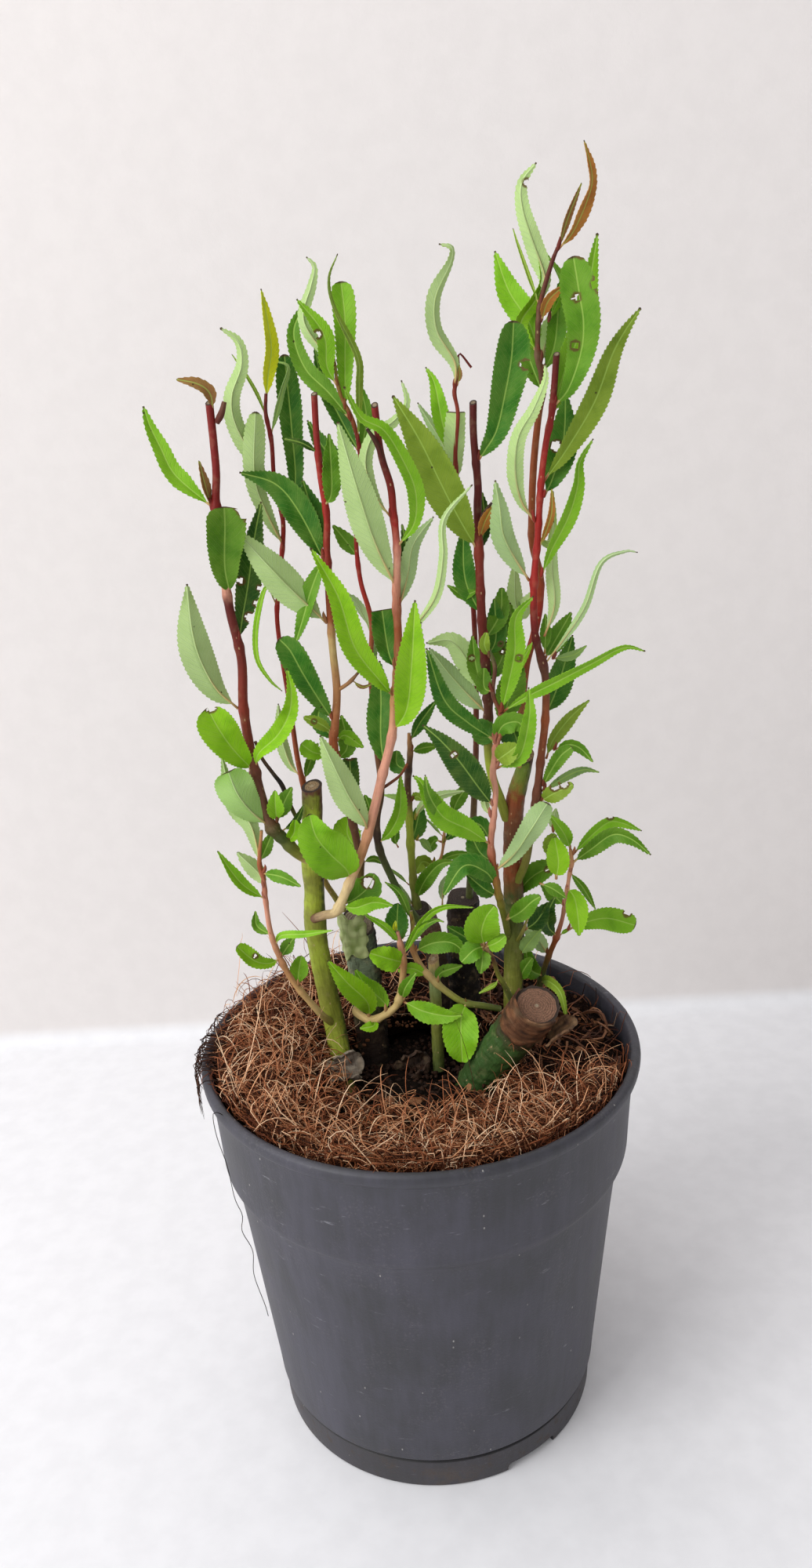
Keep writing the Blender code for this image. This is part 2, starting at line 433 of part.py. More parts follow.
# The pot: a turned wall with a collar, a rolled rim and a notched foot ring.
body_top = COLLAR_Z - 3
outline = [
    (0, 5), (BASE_R - 7, 5), (BASE_R - 6, 0), (BASE_R - 2, 0), (BASE_R - 1, FOOT_H), (BASE_R + 1, FOOT_H + 2),
    (COLLAR_R - 3.2, body_top), (COLLAR_R - 1, COLLAR_Z - 0.8), (COLLAR_R, COLLAR_Z + 1.5),
    (COLLAR_R + 2.4, POT_HEIGHT - 7), (RIM_R - 0.6, POT_HEIGHT - 5), (RIM_R, POT_HEIGHT - 2.5),
    (RIM_R - 0.8, POT_HEIGHT - 0.4), (RIM_R - 2, POT_HEIGHT), (RIM_R - 3.4, POT_HEIGHT - 0.8),
    (COLLAR_R - WALL + 1, COLLAR_Z + 4), (COLLAR_R - 3.2 - WALL, body_top + 1),
    (BASE_R + 1 - WALL, 5 + FLOOR), (0, 5 + FLOOR),
]
pot = turned("pot", outline, "pot")
for i in range(3):
    turn = math.radians(120 * i - 57)
    bm = bmesh.new()
    bmesh.ops.create_cube(bm, size=1.0)
    bmesh.ops.scale(bm, vec=(0.024, 0.0255, 0.0085), verts=bm.verts)
    bmesh.ops.translate(bm, vec=((BASE_R - 5) * MM, 0, 0), verts=bm.verts)
    bmesh.ops.rotate(bm, cent=(0, 0, 0), matrix=Matrix.Rotation(turn, 3, "Z"), verts=bm.verts)
    mesh = bpy.data.meshes.new("notch")
    bm.to_mesh(mesh)
    bm.free()
    boolean(pot, add("notch_cutter", mesh), "DIFFERENCE")

# The soil: fills the pot to a little under the mulch, uneven on top.
wall_slope = (COLLAR_R - 3.2 - BASE_R - 1) / (body_top - FOOT_H - 2)
inner = [(0, 5 + FLOOR + GAP), (BASE_R - 1.6 - WALL, 5 + FLOOR + GAP),
         (COLLAR_R - 4.2 - WALL, body_top), (COLLAR_R - 1.6 - WALL, COLLAR_Z + 8),
         (COLLAR_R - 1.6 - WALL, SOIL_TOP - 2), (70, SOIL_TOP), (48, SOIL_TOP - 1), (26, SOIL_TOP - 2),
         (0, SOIL_TOP - 2)]
soil = turned("soil", inner, "soil", steps=26)
for vert in soil.data.vertices:
    if vert.co.z > (SOIL_TOP - 4) * MM and vert.co.xy.length < 0.072:
        vert.co.z += 0.0012 * noise.noise(vert.co * 60)


def mulch_mesh(turns=34):
    """The mulch: a lumpy mat lying round the stakes, lofted through unlike sections."""
    rings = []
    bm = bmesh.new()
    for i in range(turns):
        a = 2 * math.pi * i / turns
        way = Vector((math.cos(a), math.sin(a), 0))
        lump = noise.noise(way * 2.3 + Vector((4, 0, 0)))
        hole = 19 + 5 * math.cos(a - 0.5) + 4 * lump
        wall = 87.3
        rise = 4.5 * max(0.0, math.cos(a - 2.5)) - 3.5 * max(0.0, math.cos(a - 0.6))
        low = SOIL_TOP + 1.6
        high = MULCH_TOP + rise
        section = [(hole + 4, low), (hole, low + 4), (hole + 4, low + 8 + 2 * lump),
                   (hole + 16, high - 3), (hole + 30, high + 1.4 * noise.noise(way * 5)),
                   (0.5 * (hole + 30 + wall), high + 1.2 + 1.4 * noise.noise(way * 7)),
                   (wall - 3, high + 0.5), (wall, high - 2.5), (wall, low + 3), (wall - 2, low)]
        rings.append([bm.verts.new((way * r + Vector((0, 0, z))) * MM) for r, z in section])
    for a, b in zip(rings, rings[1:] + rings[:1]):
        for j in range(len(a)):
            k = (j + 1) % len(a)
            bm.faces.new((a[j], b[j], b[k], a[k]))
    bmesh.ops.recalc_face_normals(bm, faces=bm.faces)
    mesh = bpy.data.meshes.new("coir_mulch")
    bm.to_mesh(mesh)
    bm.free()
    return mesh


mulch = add("coir_mulch", mulch_mesh(), "mulch")


def stake_mesh(name, extra=0.0):
    """A stake as a mesh, with its cut face slanted where CUTS says so."""
    stations = STAKES[name]
    mesh = rod(stations, extra, sides=2)
    if name not in CUTS:
        return mesh
    x, z, depth, radius = stations[-1]
    top = at(x, z, depth) * MM
    x, z, depth, _ = stations[-2]
    axis = (top - at(x, z, depth) * MM).normalized()
    way = Vector(CUTS[name]).normalized()
    for vert in mesh.vertices:
        off = vert.co - top
        if abs(off.dot(axis)) < 1e-5 and off.length < 1.3 * radius * MM:
            vert.co += axis * (extra * MM - off.dot(way) / axis.dot(way))
    return mesh


for name in STAKES:
    add(name, stake_mesh(name), "cutting" if "cutting" in name or name == "pale_stub" else "stake")

# Holes for the stakes and the low shoots through the mulch and the top of the soil.
for name, stations in list(STAKES.items()) + [("far", SHOOTS["shoot_low_far_right"][0])]:
    foot = stations[:4]
    cutter = add(name + "_hole", rod(foot, GAP, sides=2))
    boolean(mulch, cutter, "DIFFERENCE")
    boolean(soil, cutter, "DIFFERENCE")


def shoot(name, stem, leaves):
    """A shoot with its leaves, one grown piece, cut clear of the stakes it stands against."""
    made = add(name, rod(stem), "shoot")
    for places, width, reach, facing in leaves:
        foot = depth_at(stem, *places[0])
        boolean(made, add(name + "_leaf", blade(places, width, reach, facing, foot)), "UNION")
    for stake in STAKES:
        boolean(made, add(name + "_clear", stake_mesh(stake, GAP)), "DIFFERENCE")


for name, (stem, leaves) in SHOOTS.items():
    shoot(name, stem, leaves)
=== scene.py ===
# %% [markdown]
# # A potted contorted willow
# Leafy rods of corkscrew willow have grown from cut stakes that were pushed into a nursery pot.
# The pot is full of dark soil with a mat of coir fibre on top. We build it from the ground up:
# pot, soil, mulch, stakes, then the shoots with their leaves, and last the light and the camera.

import math

import bpy
import numpy as np
from mathutils import Matrix, Vector, noise


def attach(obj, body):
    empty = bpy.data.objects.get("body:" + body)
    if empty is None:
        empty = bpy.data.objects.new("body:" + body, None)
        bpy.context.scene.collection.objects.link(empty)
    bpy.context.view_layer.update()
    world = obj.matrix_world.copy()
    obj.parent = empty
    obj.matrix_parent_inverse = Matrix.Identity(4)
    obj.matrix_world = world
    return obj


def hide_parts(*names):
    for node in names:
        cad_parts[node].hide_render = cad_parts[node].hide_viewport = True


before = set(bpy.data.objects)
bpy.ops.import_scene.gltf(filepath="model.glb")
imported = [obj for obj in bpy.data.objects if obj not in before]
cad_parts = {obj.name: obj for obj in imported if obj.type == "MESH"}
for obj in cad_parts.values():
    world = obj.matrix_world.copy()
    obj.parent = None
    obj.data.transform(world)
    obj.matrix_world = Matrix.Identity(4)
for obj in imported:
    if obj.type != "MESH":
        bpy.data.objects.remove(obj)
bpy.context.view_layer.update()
MM = 0.001
print("frame nodes:", len(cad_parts))

# %% [markdown]
# The camera comes first, because the plant is laid out as seen from it. We stand a little above
# the top of the pot and look down by about nineteen degrees, with the camera tipped by three.

# %% Camera
bpy.ops.object.camera_add(location=(0.0001, -0.4495, 0.4511))
camera = bpy.context.object
camera.name = "camera"
camera.data.lens, camera.data.sensor_width = 27.0, 36.0
tilt = Matrix.Rotation(math.radians(70.8), 4, "X") @ Matrix.Rotation(math.radians(-3.18), 4, "Z")
camera.matrix_world = Matrix.Translation(camera.location) @ tilt
bpy.context.scene.camera = camera
bpy.context.scene.view_settings.view_transform = "Standard"

# %% [markdown]
# A twig is far easier to describe as seen than in three numbers. So each plant part gets its place
# (x, z) on an upright board through the pot's axis, in millimetres, and how far behind the board
# it stands. Moving a part along the line of sight changes its depth and leaves the view alone.

# %% Board places
SIGHT = np.array([0.1, -449.5, 451.1])


def at(x, z, depth):
    """The point, mm, seen at board place (x, z) and lying depth behind the board."""
    return SIGHT + (np.array([x, 0.0, z]) - SIGHT) * ((depth - SIGHT[1]) / -SIGHT[1])


def smooth_path(points, count):
    """Points evenly spaced along a smooth curve that passes through all of the given ones."""
    points = np.asarray(points, float)
    ends = np.vstack([2 * points[0] - points[1], points, 2 * points[-1] - points[-2]])
    fine = []
    for a, b, c, d in zip(ends, ends[1:], ends[2:], ends[3:]):
        t = np.linspace(0, 1, 16, endpoint=False)[:, None]
        fine.append(0.5 * (2 * b + (c - a) * t + (2 * a - 5 * b + 4 * c - d) * t**2
                           + (3 * b - a - 3 * c + d) * t**3))
    fine = np.vstack(fine + [points[-1:]])
    run = np.concatenate([[0], np.cumsum(np.linalg.norm(np.diff(fine[:, :3], axis=0), axis=1))])
    stops = np.linspace(0, run[-1], count)
    return np.stack([np.interp(stops, run, column) for column in fine.T], axis=1), run[-1]


def unit(vectors):
    """The vectors, each made one long."""
    return vectors / np.maximum(np.linalg.norm(vectors, axis=-1, keepdims=True), 1e-9)


# %% [markdown]
# Materials are node graphs. To keep their sums readable, a small class wraps a node's socket, so
# that `0.5 + 2 * mask` adds the Math nodes by itself, and one method makes every other node.

# %% A small language for materials
class Value:
    """A socket that can be used in sums."""

    def __init__(self, finish, socket):
        self.finish, self.socket = finish, socket

    def _math(self, operation, *values):
        return self.finish.node("Math", {"operation": operation}, *values)

    def __add__(self, other):
        return self._math("ADD", self, other)

    def __sub__(self, other):
        return self._math("SUBTRACT", self, other)

    def __rsub__(self, other):
        return self._math("SUBTRACT", other, self)

    def __mul__(self, other):
        return self._math("MULTIPLY", self, other)

    def __truediv__(self, other):
        return self._math("DIVIDE", self, other)

    def __pow__(self, other):
        return self._math("POWER", self, other)

    def __abs__(self):
        return self._math("ABSOLUTE", self)

    __radd__, __rmul__ = __add__, __mul__

    def over(self, low, high):
        """0 below low, 1 above high, smooth between; the other way round when low is the larger."""
        return self.finish.node("MapRange", {"interpolation_type": "SMOOTHSTEP", "clamp": True}, self, low, high)


class Finish:
    """A material whose nodes are added one line at a time."""

    def __init__(self, name, **constants):
        self.material = bpy.data.materials.new(name)
        self.material.use_nodes = True
        self.tree = self.material.node_tree
        self.shader = self.tree.nodes["Principled BSDF"]
        for socket, value in constants.items():
            self.shader.inputs[socket.replace("_", " ")].default_value = value

    def node(self, kind, settings, *inputs, out=0, **named):
        made = self.tree.nodes.new("ShaderNode" + kind)
        for key, value in settings.items():
            setattr(made, key, value)
        for key, value in list(enumerate(inputs)) + [(k.replace("_", " "), v) for k, v in named.items()]:
            if isinstance(value, Value):
                self.tree.links.new(value.socket, made.inputs[key])
            elif value is not None:
                made.inputs[key].default_value = value
        return Value(self, made.outputs[out])

    def places(self, scale=1.0, stretch=(1, 1, 1)):
        """Object coordinates in millimetres, times scale."""
        where = self.node("TexCoord", {}, out="Object")
        return self.node("Mapping", {}, Vector=where, Scale=[1000 * scale * s for s in stretch])

    def noise(self, where, size, detail=3.0, roughness=0.55, distortion=0.0):
        """Soft noise, 0 to 1, whose lumps are about size apart in where's units."""
        return self.node("TexNoise", {}, Vector=where, Scale=1.0 / size, Detail=detail, Roughness=roughness,
                         Distortion=distortion)

    def cells(self, where, size, feature="F1", out="Distance", randomness=1.0):
        return self.node("TexVoronoi", {"feature": feature}, Vector=where, Scale=1.0 / size,
                         Randomness=randomness, out=out)

    def mix(self, share, a, b, blend="MIX"):
        """Colour a where share is 0 and b where it is 1."""
        made = self.tree.nodes.new("ShaderNodeMix")
        made.data_type, made.blend_type = "RGBA", blend
        for key, value in ((0, share), (6, a), (7, b)):
            if isinstance(value, Value):
                self.tree.links.new(value.socket, made.inputs[key])
            else:
                made.inputs[key].default_value = (*value, 1) if key else value
        return Value(self, made.outputs[2])

    def attribute(self, name, out="Color"):
        return self.node("Attribute", {"attribute_name": name}, out=out)

    def dress(self, colour=None, roughness=None, height=None, depth=0.1, **links):
        """Links the finished colour, roughness and relief (mm) to the shader."""
        shader = self.shader
        if colour is not None:
            self.tree.links.new(colour.socket, shader.inputs["Base Color"])
        if roughness is not None:
            self.tree.links.new(roughness.socket, shader.inputs["Roughness"])
        if height is not None:
            bump = self.node("Bump", {}, Strength=1.0, Distance=depth * MM, Height=height)
            self.tree.links.new(bump.socket, shader.inputs["Normal"])
        for name, value in links.items():
            self.tree.links.new(value.socket, shader.inputs[name.replace("_", " ")])
        return self.material


def srgb(red, green, blue):
    """A colour as 0-255 display numbers, made linear."""
    return tuple(((v / 255 + 0.055) / 1.055) ** 2.4 if v > 10 else v / 3294.6 for v in (red, green, blue))

# %% [markdown]
# ## The pot
# A nursery pot is blown or moulded in one thin skin: a foot ring with notches that let water out,
# a body that tapers, a step up to a wider collar, and a rolled rim. Being round, it could be turned
# with a Screw modifier or spun. We spin it: its half outline is drawn as a chain of vertices by
# extruding a point, and the spin operator sweeps the chain round the axis.

# %% Helpers for modelling with operators
def start_edit(select="VERT"):
    bpy.ops.object.mode_set(mode="EDIT")
    bpy.ops.mesh.select_mode(type=select)


def active(name):
    """Names the new active object and returns it."""
    made = bpy.context.object
    made.name = made.data.name = name
    return made


def settle(piece):
    """Applies the piece's modifiers and its place, so that its object sits at the origin."""
    bpy.ops.object.select_all(action="DESELECT")
    piece.select_set(True)
    bpy.context.view_layer.objects.active = piece
    for modifier in list(piece.modifiers):
        bpy.ops.object.modifier_apply(modifier=modifier.name)
    bpy.ops.object.transform_apply(location=True, rotation=True, scale=True)
    return piece


def keep(piece, nodes, slot, *materials, smooth=50):
    """Puts a finished piece on the model's body, in place of the plain nodes it stands for."""
    if materials:
        slots = np.empty(len(piece.data.polygons), np.int32)
        piece.data.polygons.foreach_get("material_index", slots)
        piece.data.materials.clear()
        for material in materials:
            piece.data.materials.append(material)
        piece.data.polygons.foreach_set("material_index", slots)
    if smooth:
        bpy.ops.object.select_all(action="DESELECT")
        piece.select_set(True)
        bpy.context.view_layer.objects.active = piece
        bpy.ops.object.shade_smooth_by_angle(angle=math.radians(smooth))
    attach(piece, "root")
    if nodes:
        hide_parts(*nodes)
    print(piece.name, len(piece.data.polygons), "faces")
    return piece


def spun(name, outline, steps):
    """A turned piece: the outline of (radius, height) in millimetres is extruded point by point and spun."""
    bpy.ops.object.select_all(action="DESELECT")
    bpy.ops.mesh.primitive_plane_add(size=0.001)
    piece = active(name)
    start_edit()
    bpy.ops.mesh.select_all(action="SELECT")
    bpy.ops.mesh.merge(type="CENTER")
    r, z = outline[0]
    bpy.ops.transform.translate(value=(r * MM, 0, z * MM))
    for (r0, z0), (r1, z1) in zip(outline, outline[1:]):
        bpy.ops.mesh.extrude_vertices_move(TRANSFORM_OT_translate={"value": ((r1 - r0) * MM, 0, (z1 - z0) * MM)})
    bpy.ops.mesh.select_all(action="SELECT")
    bpy.ops.mesh.spin(steps=steps, angle=2 * math.pi, center=(0, 0, 0), axis=(0, 0, 1))
    bpy.ops.mesh.select_all(action="SELECT")
    bpy.ops.mesh.remove_doubles(threshold=0.00002)
    bpy.ops.mesh.normals_make_consistent(inside=False)
    bpy.ops.object.mode_set(mode="OBJECT")
    return piece


# %% Pot
def rounded(outline, size=0.8):
    """The outline with each inner corner cut twice, so that it turns softly."""
    soft = [outline[0]]
    for a, b, c in zip(outline, outline[1:], outline[2:]):
        a, b, c = Vector(a), Vector(b), Vector(c)
        reach = min(size, (a - b).length / 3, (c - b).length / 3)
        p, q = b + (a - b).normalized() * reach, b + (c - b).normalized() * reach
        soft += [tuple(p), tuple((p + 2 * b + q) / 4), tuple(q)]
    return soft + [outline[-1]]


GROOVE_Z = 15.3  # mm, the groove above the foot ring
POT_OUTLINE = [
    (0, 5), (50, 5), (65.5, 5), (66.5, 0.6), (67.2, 0), (71.4, 0), (72.2, 0.8), (73.0, 14.2),
    (71.6, 14.8), (71.6, 15.8), (73.4, 16.4), (74.2, 17.4), (75, 27), (77.6, 52), (80.2, 77),
    (82.8, 102), (84.9, 120), (85.8, 126.5), (87.2, 129.3),
    (89.2, 131), (89.6, 133), (90.2, 145), (91.3, 162), (92, 169.3), (92.4, 170.1), (93.6, 170.8), (94.6, 172),
    (95, 174), (94.6, 175.9), (93.6, 176.8), (92.2, 177), (91, 176.3), (90.2, 174.5), (88.9, 150), (88.2, 134),
    (86, 130.2), (83.9, 127), (81, 102), (71.0, 17), (69.6, 14), (69, 8), (0, 8),
]
pot = spun("pot_shell", rounded(POT_OUTLINE), 160)
bpy.ops.object.select_all(action="DESELECT")
notches = []
for step in range(3):
    turn = math.radians(120 * step - 57)
    bpy.ops.mesh.primitive_cube_add(size=1, location=(0.0675 * math.cos(turn), 0.0675 * math.sin(turn), 0),
                                    rotation=(0, 0, turn), scale=(0.024, 0.0255, 0.0085))
    notches.append(active("notch"))
    start_edit("EDGE")
    bpy.ops.mesh.bevel(offset=0.0018, segments=3, affect="EDGES")
    bpy.ops.object.mode_set(mode="OBJECT")
for notch in notches:
    cut = pot.modifiers.new("notch", "BOOLEAN")
    cut.operation, cut.solver, cut.object = "DIFFERENCE", "EXACT", notch
settle(pot)
for notch in notches:
    bpy.data.objects.remove(notch)
print("pot:", len(pot.data.vertices), "vertices")

# %% [markdown]
# The pot's plastic is a dull blue-grey. Handling has left pale scuffs, watering has left a bloom of
# lime and splashes of soil low down, and dust lies on the steps. A dark band in the groove above the
# foot ring is painted shade. All of it is noise on Object coordinates, so it stays put from every side.

# %% Pot plastic
def pot_plastic():
    f = Finish("pot_plastic", IOR=1.5, Specular_IOR_Level=0.6)
    where = f.places()
    height = f.node("SeparateXYZ", {}, where, out="Z")
    side = f.node("SeparateXYZ", {}, where, out="X")
    cloud = f.noise(where, 34, 5, 0.6)
    fine = f.noise(where, 1.1, 2)
    streak = f.noise(f.node("Mapping", {}, Vector=where, Scale=(1, 1, 0.12)), 5, 4, 0.65)
    grey = f.mix(cloud.over(0.32, 0.7), srgb(40, 40, 46), srgb(50, 49, 58))
    clouded = f.mix((streak * 0.5 + cloud * 0.5).over(0.35, 0.7) * 0.3, grey, srgb(84, 83, 98))
    scuffs = f.noise(f.node("Mapping", {}, Vector=where, Scale=(0.5, 0.5, 2.2), Rotation=(0.3, 0.2, 0.5)), 7, 8, 0.72)
    scuffed = f.mix(scuffs.over(0.62, 0.72) * 0.45, clouded, srgb(150, 150, 158))
    bent = f.node("Mapping", {}, Vector=where, Scale=(1, 1, 0.6))
    specks = f.cells(bent, 3.4)
    kept = f.cells(bent, 3.4, out="Color")
    dusty = f.mix(specks.over(0.13, 0.05) * f.node("SeparateColor", {}, kept, out="Red").over(0.88, 0.93) * 0.7,
                  scuffed, srgb(176, 172, 166))
    patch = f.noise(where, 24, 3)
    dusty = f.mix(fine.over(0.52, 0.7) * patch.over(0.48, 0.62) * 0.1, dusty, srgb(140, 134, 134))
    splash = f.noise(where, 6, 6, 0.7)
    low = height.over(26, 4) * splash.over(0.54, 0.66)
    front = abs(side - 4).over(17, 4) * height.over(14, 6) * splash.over(0.36, 0.56)
    soiled = f.mix(low * 0.6, dusty, srgb(88, 70, 56))
    soiled = f.mix(front * 0.6, soiled, srgb(84, 70, 58))
    # painted shade: a near-black band in the groove above the foot ring, where the body's edge overhangs
    line = abs(height - GROOVE_Z).over(1.3, 0.9)
    foot = height.over(GROOVE_Z, GROOVE_Z - 0.9)
    colour = f.mix(foot * (0.2 + 0.5 * splash), soiled, srgb(46, 41, 40))
    # the groove's painted shade goes on over everything else
    colour = f.mix(line * 0.85, colour, srgb(16, 15, 18))
    return f.dress(colour, 0.42 + 0.24 * cloud + 0.14 * low, 0.55 * fine + 0.9 * streak, 0.16)


keep(pot, ["pot"], "pot", pot_plastic(), smooth=35)

# %% [markdown]
# ## Soil
# Under the mulch the pot is full of dark, damp, crumbly soil, which shows in the opening round the
# stakes. Its colour and its crumbs are taken near-black: the soil's own dark, deepened as painted shade
# under the plant. One turned lump would look too smooth, so its top is cut fine and pushed up and down
# with three sizes of noise, and some loose crumbs lie on it.

# %% Soil body
def ripple(points, *layers):
    """Noise heights at the points (mm) for layers of (size, height)."""
    return np.array([sum(high * noise.noise(Vector(p / size)) for size, high in layers) for p in points])


def points_of(piece):
    flat = np.empty(3 * len(piece.data.vertices))
    piece.data.vertices.foreach_get("co", flat)
    return flat.reshape(-1, 3) / MM


def move_points(piece, points):
    piece.data.vertices.foreach_set("co", (np.asarray(points) * MM).ravel())
    piece.data.update()


soil_outline = [(0, 8.6), (69.6, 8.6), (80.6, 102), (83.2, 126), (85.6, 131), (87.6, 150), (86, 153)]
soil_outline += [(r, 154) for r in np.linspace(83, 3, 60)] + [(0, 154)]
soil = spun("soil_fill", soil_outline, 150)
where = points_of(soil)
top = where[:, 2] > 152.5
where[top, 2] += ripple(where[top], (19, 4.2), (5.5, 2.2), (1.9, 0.9))
move_points(soil, where)


def soil_and_shade_look():
    f = Finish("damp_soil_and_shade", Specular_IOR_Level=0.08)
    where = f.places()
    grain = f.noise(where, 1.0, 5, 0.7)
    clods = f.noise(where, 7, 3)
    bits = f.cells(where, 1.7)
    # near-black to dark brown: damp soil, darkened further as painted shade under the plant
    colour = f.mix(grain.over(0.3, 0.75), srgb(9, 6, 5), srgb(34, 24, 18))
    colour = f.mix(bits.over(0.22, 0.12) * clods.over(0.58, 0.66) * 0.5, colour, srgb(110, 80, 56))
    return f.dress(colour, 0.86 + 0.14 * grain, grain + 0.5 * clods, 0.7)


keep(soil, ["soil"], "soil", soil_and_shade_look(), smooth=0)

# %% [markdown]
# ## One tube for everything slender
# Fibres, roots, stems, leaf ribs and buds are all tubes along a bent path. A curve with a bevel could
# make each, but then its surface holds no places to paint by. So one straight unit tube is modelled per
# number of sides and rings, and every copy of it is laid along its own path.

# %% Tube models
MODELS = {}


def tube_model(sides, rings):
    """An upright tube, one long and one in radius, with evenly spaced rings. It is modelled once and kept."""
    if (sides, rings) in MODELS:
        return MODELS[sides, rings]
    bpy.ops.object.select_all(action="DESELECT")
    bpy.ops.mesh.primitive_cylinder_add(vertices=sides, radius=1, depth=1)
    model = active(f"tube_{sides}_{rings}")
    for cuts in ([rings - 2] if rings < 100 else [(rings - 1) // 2 - 1, 1]):
        start_edit("EDGE")
        bpy.ops.mesh.select_all(action="DESELECT")
        bpy.ops.object.mode_set(mode="OBJECT")
        ends = model.data.vertices
        for edge in model.data.edges:
            a, b = (ends[v].co for v in edge.vertices)
            edge.select = abs(a.z - b.z) > 1e-4
        start_edit("EDGE")
        bpy.ops.mesh.subdivide(number_cuts=cuts)
        bpy.ops.object.mode_set(mode="OBJECT")
    MODELS[sides, rings] = model
    return model


def lay(model, paths, radii, front=(0.2, -1.0, 0.15)):
    """Places, mm, for the model's points once it is laid along each path (paths: many x rings x 3)."""
    flat = points_of(model) * MM
    rings = paths.shape[1]
    ring = np.rint((flat[:, 2] + 0.5) * (rings - 1)).astype(int)
    way = unit(np.gradient(paths, axis=1))
    side = unit(np.cross(way, np.broadcast_to(front, way.shape)))
    up = np.cross(way, side)
    x, y = flat[:, 0, None], flat[:, 1, None]
    return paths[:, ring] + radii[:, ring, None] * (x * side[:, ring] + y * up[:, ring]), ring


def paint(piece, name, values):
    """Stores a value for each point: a colour or a vector."""
    values = np.asarray(values, float)
    if values.ndim == 2 and name in ("bark", "tone"):
        made = piece.data.attributes.new(name, "FLOAT_COLOR", "POINT")
        made.data.foreach_set("color", np.column_stack([values, np.ones(len(values))]).ravel())
    else:
        made = piece.data.attributes.new(name, "FLOAT_VECTOR", "POINT")
        made.data.foreach_set("vector", values.ravel())


def copy_of(model, name):
    """A copy of a model with its own mesh."""
    made = model.copy()
    made.data = model.data.copy()
    made.name = made.data.name = name
    bpy.context.scene.collection.objects.link(made)
    return made


def array_of(model, name, count):
    """Count copies of a model in one mesh, by an Array modifier without any offset."""
    made = copy_of(model, name)
    times = made.modifiers.new("copies", "ARRAY")
    times.count, times.use_relative_offset = count, False
    return settle(made)


# %% [markdown]
# ## Coir mulch
# Coir is the fibre of coconut husk: stiff brown hairs, 1 to 5 cm long, with crumbs of pith between. The
# pad on this pot is felted and frayed. A turned ring gives the dense felt beneath, near-black as its own
# dark brown and as painted shade between the fibres, and thousands of bent fibres lie on it. They could be
# grown as hair, but hair has no mesh, so each fibre is a three-sided tube.

# %% Felted mat
draw = np.random.default_rng(7)


def hole_radius(turn):
    """How wide the opening round the stakes is, mm, in each direction."""
    lump = np.array([noise.noise(Vector((2.2 * math.cos(a), 2.2 * math.sin(a), 4.7))) for a in np.ravel(turn)])
    return 39 + 5 * np.cos(turn + 0.6) + 7 * lump.reshape(np.shape(turn))


def mulch_height(x, y):
    """The mat's top, mm: heaped at the left back, low at the right back, sinking round the opening."""
    turn, r = np.arctan2(y, x), np.hypot(x, y)
    heap = 169.5 + 4.5 * np.maximum(0, np.cos(turn - 2.5)) - 1.5 * np.maximum(0, np.cos(turn - 0.75))
    heap = heap - 7.0 * np.exp(-np.maximum(0, r - hole_radius(turn)) / 9.0)
    lumps = ripple(np.column_stack([np.ravel(x), np.ravel(y), np.zeros(np.size(x))]), (17, 3.0), (6.5, 2.2))
    return heap + lumps.reshape(np.shape(x))


ring_outline = [(86.6, 158), (87.0, 163), (86.8, 167)] + [(r, 168) for r in np.linspace(86, 25, 56)]
ring_outline += [(24, 166), (24, 161), (24, 158), (86.6, 158)]
mat = spun("mulch_felt", ring_outline, 180)
where = points_of(mat)
turn, r = np.arctan2(where[:, 1], where[:, 0]), np.hypot(where[:, 0], where[:, 1])
opening = hole_radius(turn)
r = opening + (r - 24) * (87 - opening) / 63
where[:, 0], where[:, 1] = r * np.cos(turn), r * np.sin(turn)
top = where[:, 2] > 167.5
where[top, 2] = mulch_height(where[top, 0], where[top, 1]) + ripple(where[top], (2.1, 1.5), (1.1, 0.7))
move_points(mat, where)


def felt_and_shade_look():
    f = Finish("coir_felt_and_shade", Specular_IOR_Level=0.1)
    where = f.places()
    hairs = f.noise(f.node("Mapping", {}, Vector=where, Scale=(3, 0.5, 1), Rotation=(0, 0, 0.9)), 1.2, 6, 0.75, 1.5)
    crumbs = f.cells(where, 1.3)
    clouds = f.noise(where, 11, 4)
    # near-black to dark brown: the felt's own colour, darkened further as painted shade between the fibres
    colour = f.mix(hairs.over(0.3, 0.8), srgb(8, 4, 3), srgb(46, 26, 17))
    colour = f.mix(clouds.over(0.4, 0.7) * 0.5, colour, srgb(26, 14, 10))
    colour = f.mix(crumbs.over(0.25, 0.1) * 0.4, colour, srgb(96, 60, 40))
    return f.dress(colour, 0.85 + 0.15 * clouds, hairs + crumbs, 0.8)


keep(mat, ["coir_mulch"], "mulch", felt_and_shade_look(), smooth=0)

# %% [markdown]
# The fibres follow drifts: neighbours lie roughly the same way, and a second draw turns each one a
# little. Round the opening they stand up like bristles, and at the rim some poke over the edge.

# %% Coir fibres
# coir tones from dark to pale; the palest are pale fibre and painted highlight in one
FIBRE_TONES_AND_HIGHLIGHTS = np.array([srgb(36, 16, 10), srgb(98, 50, 29), srgb(168, 102, 66), srgb(228, 170, 126),
                        srgb(250, 216, 180)])


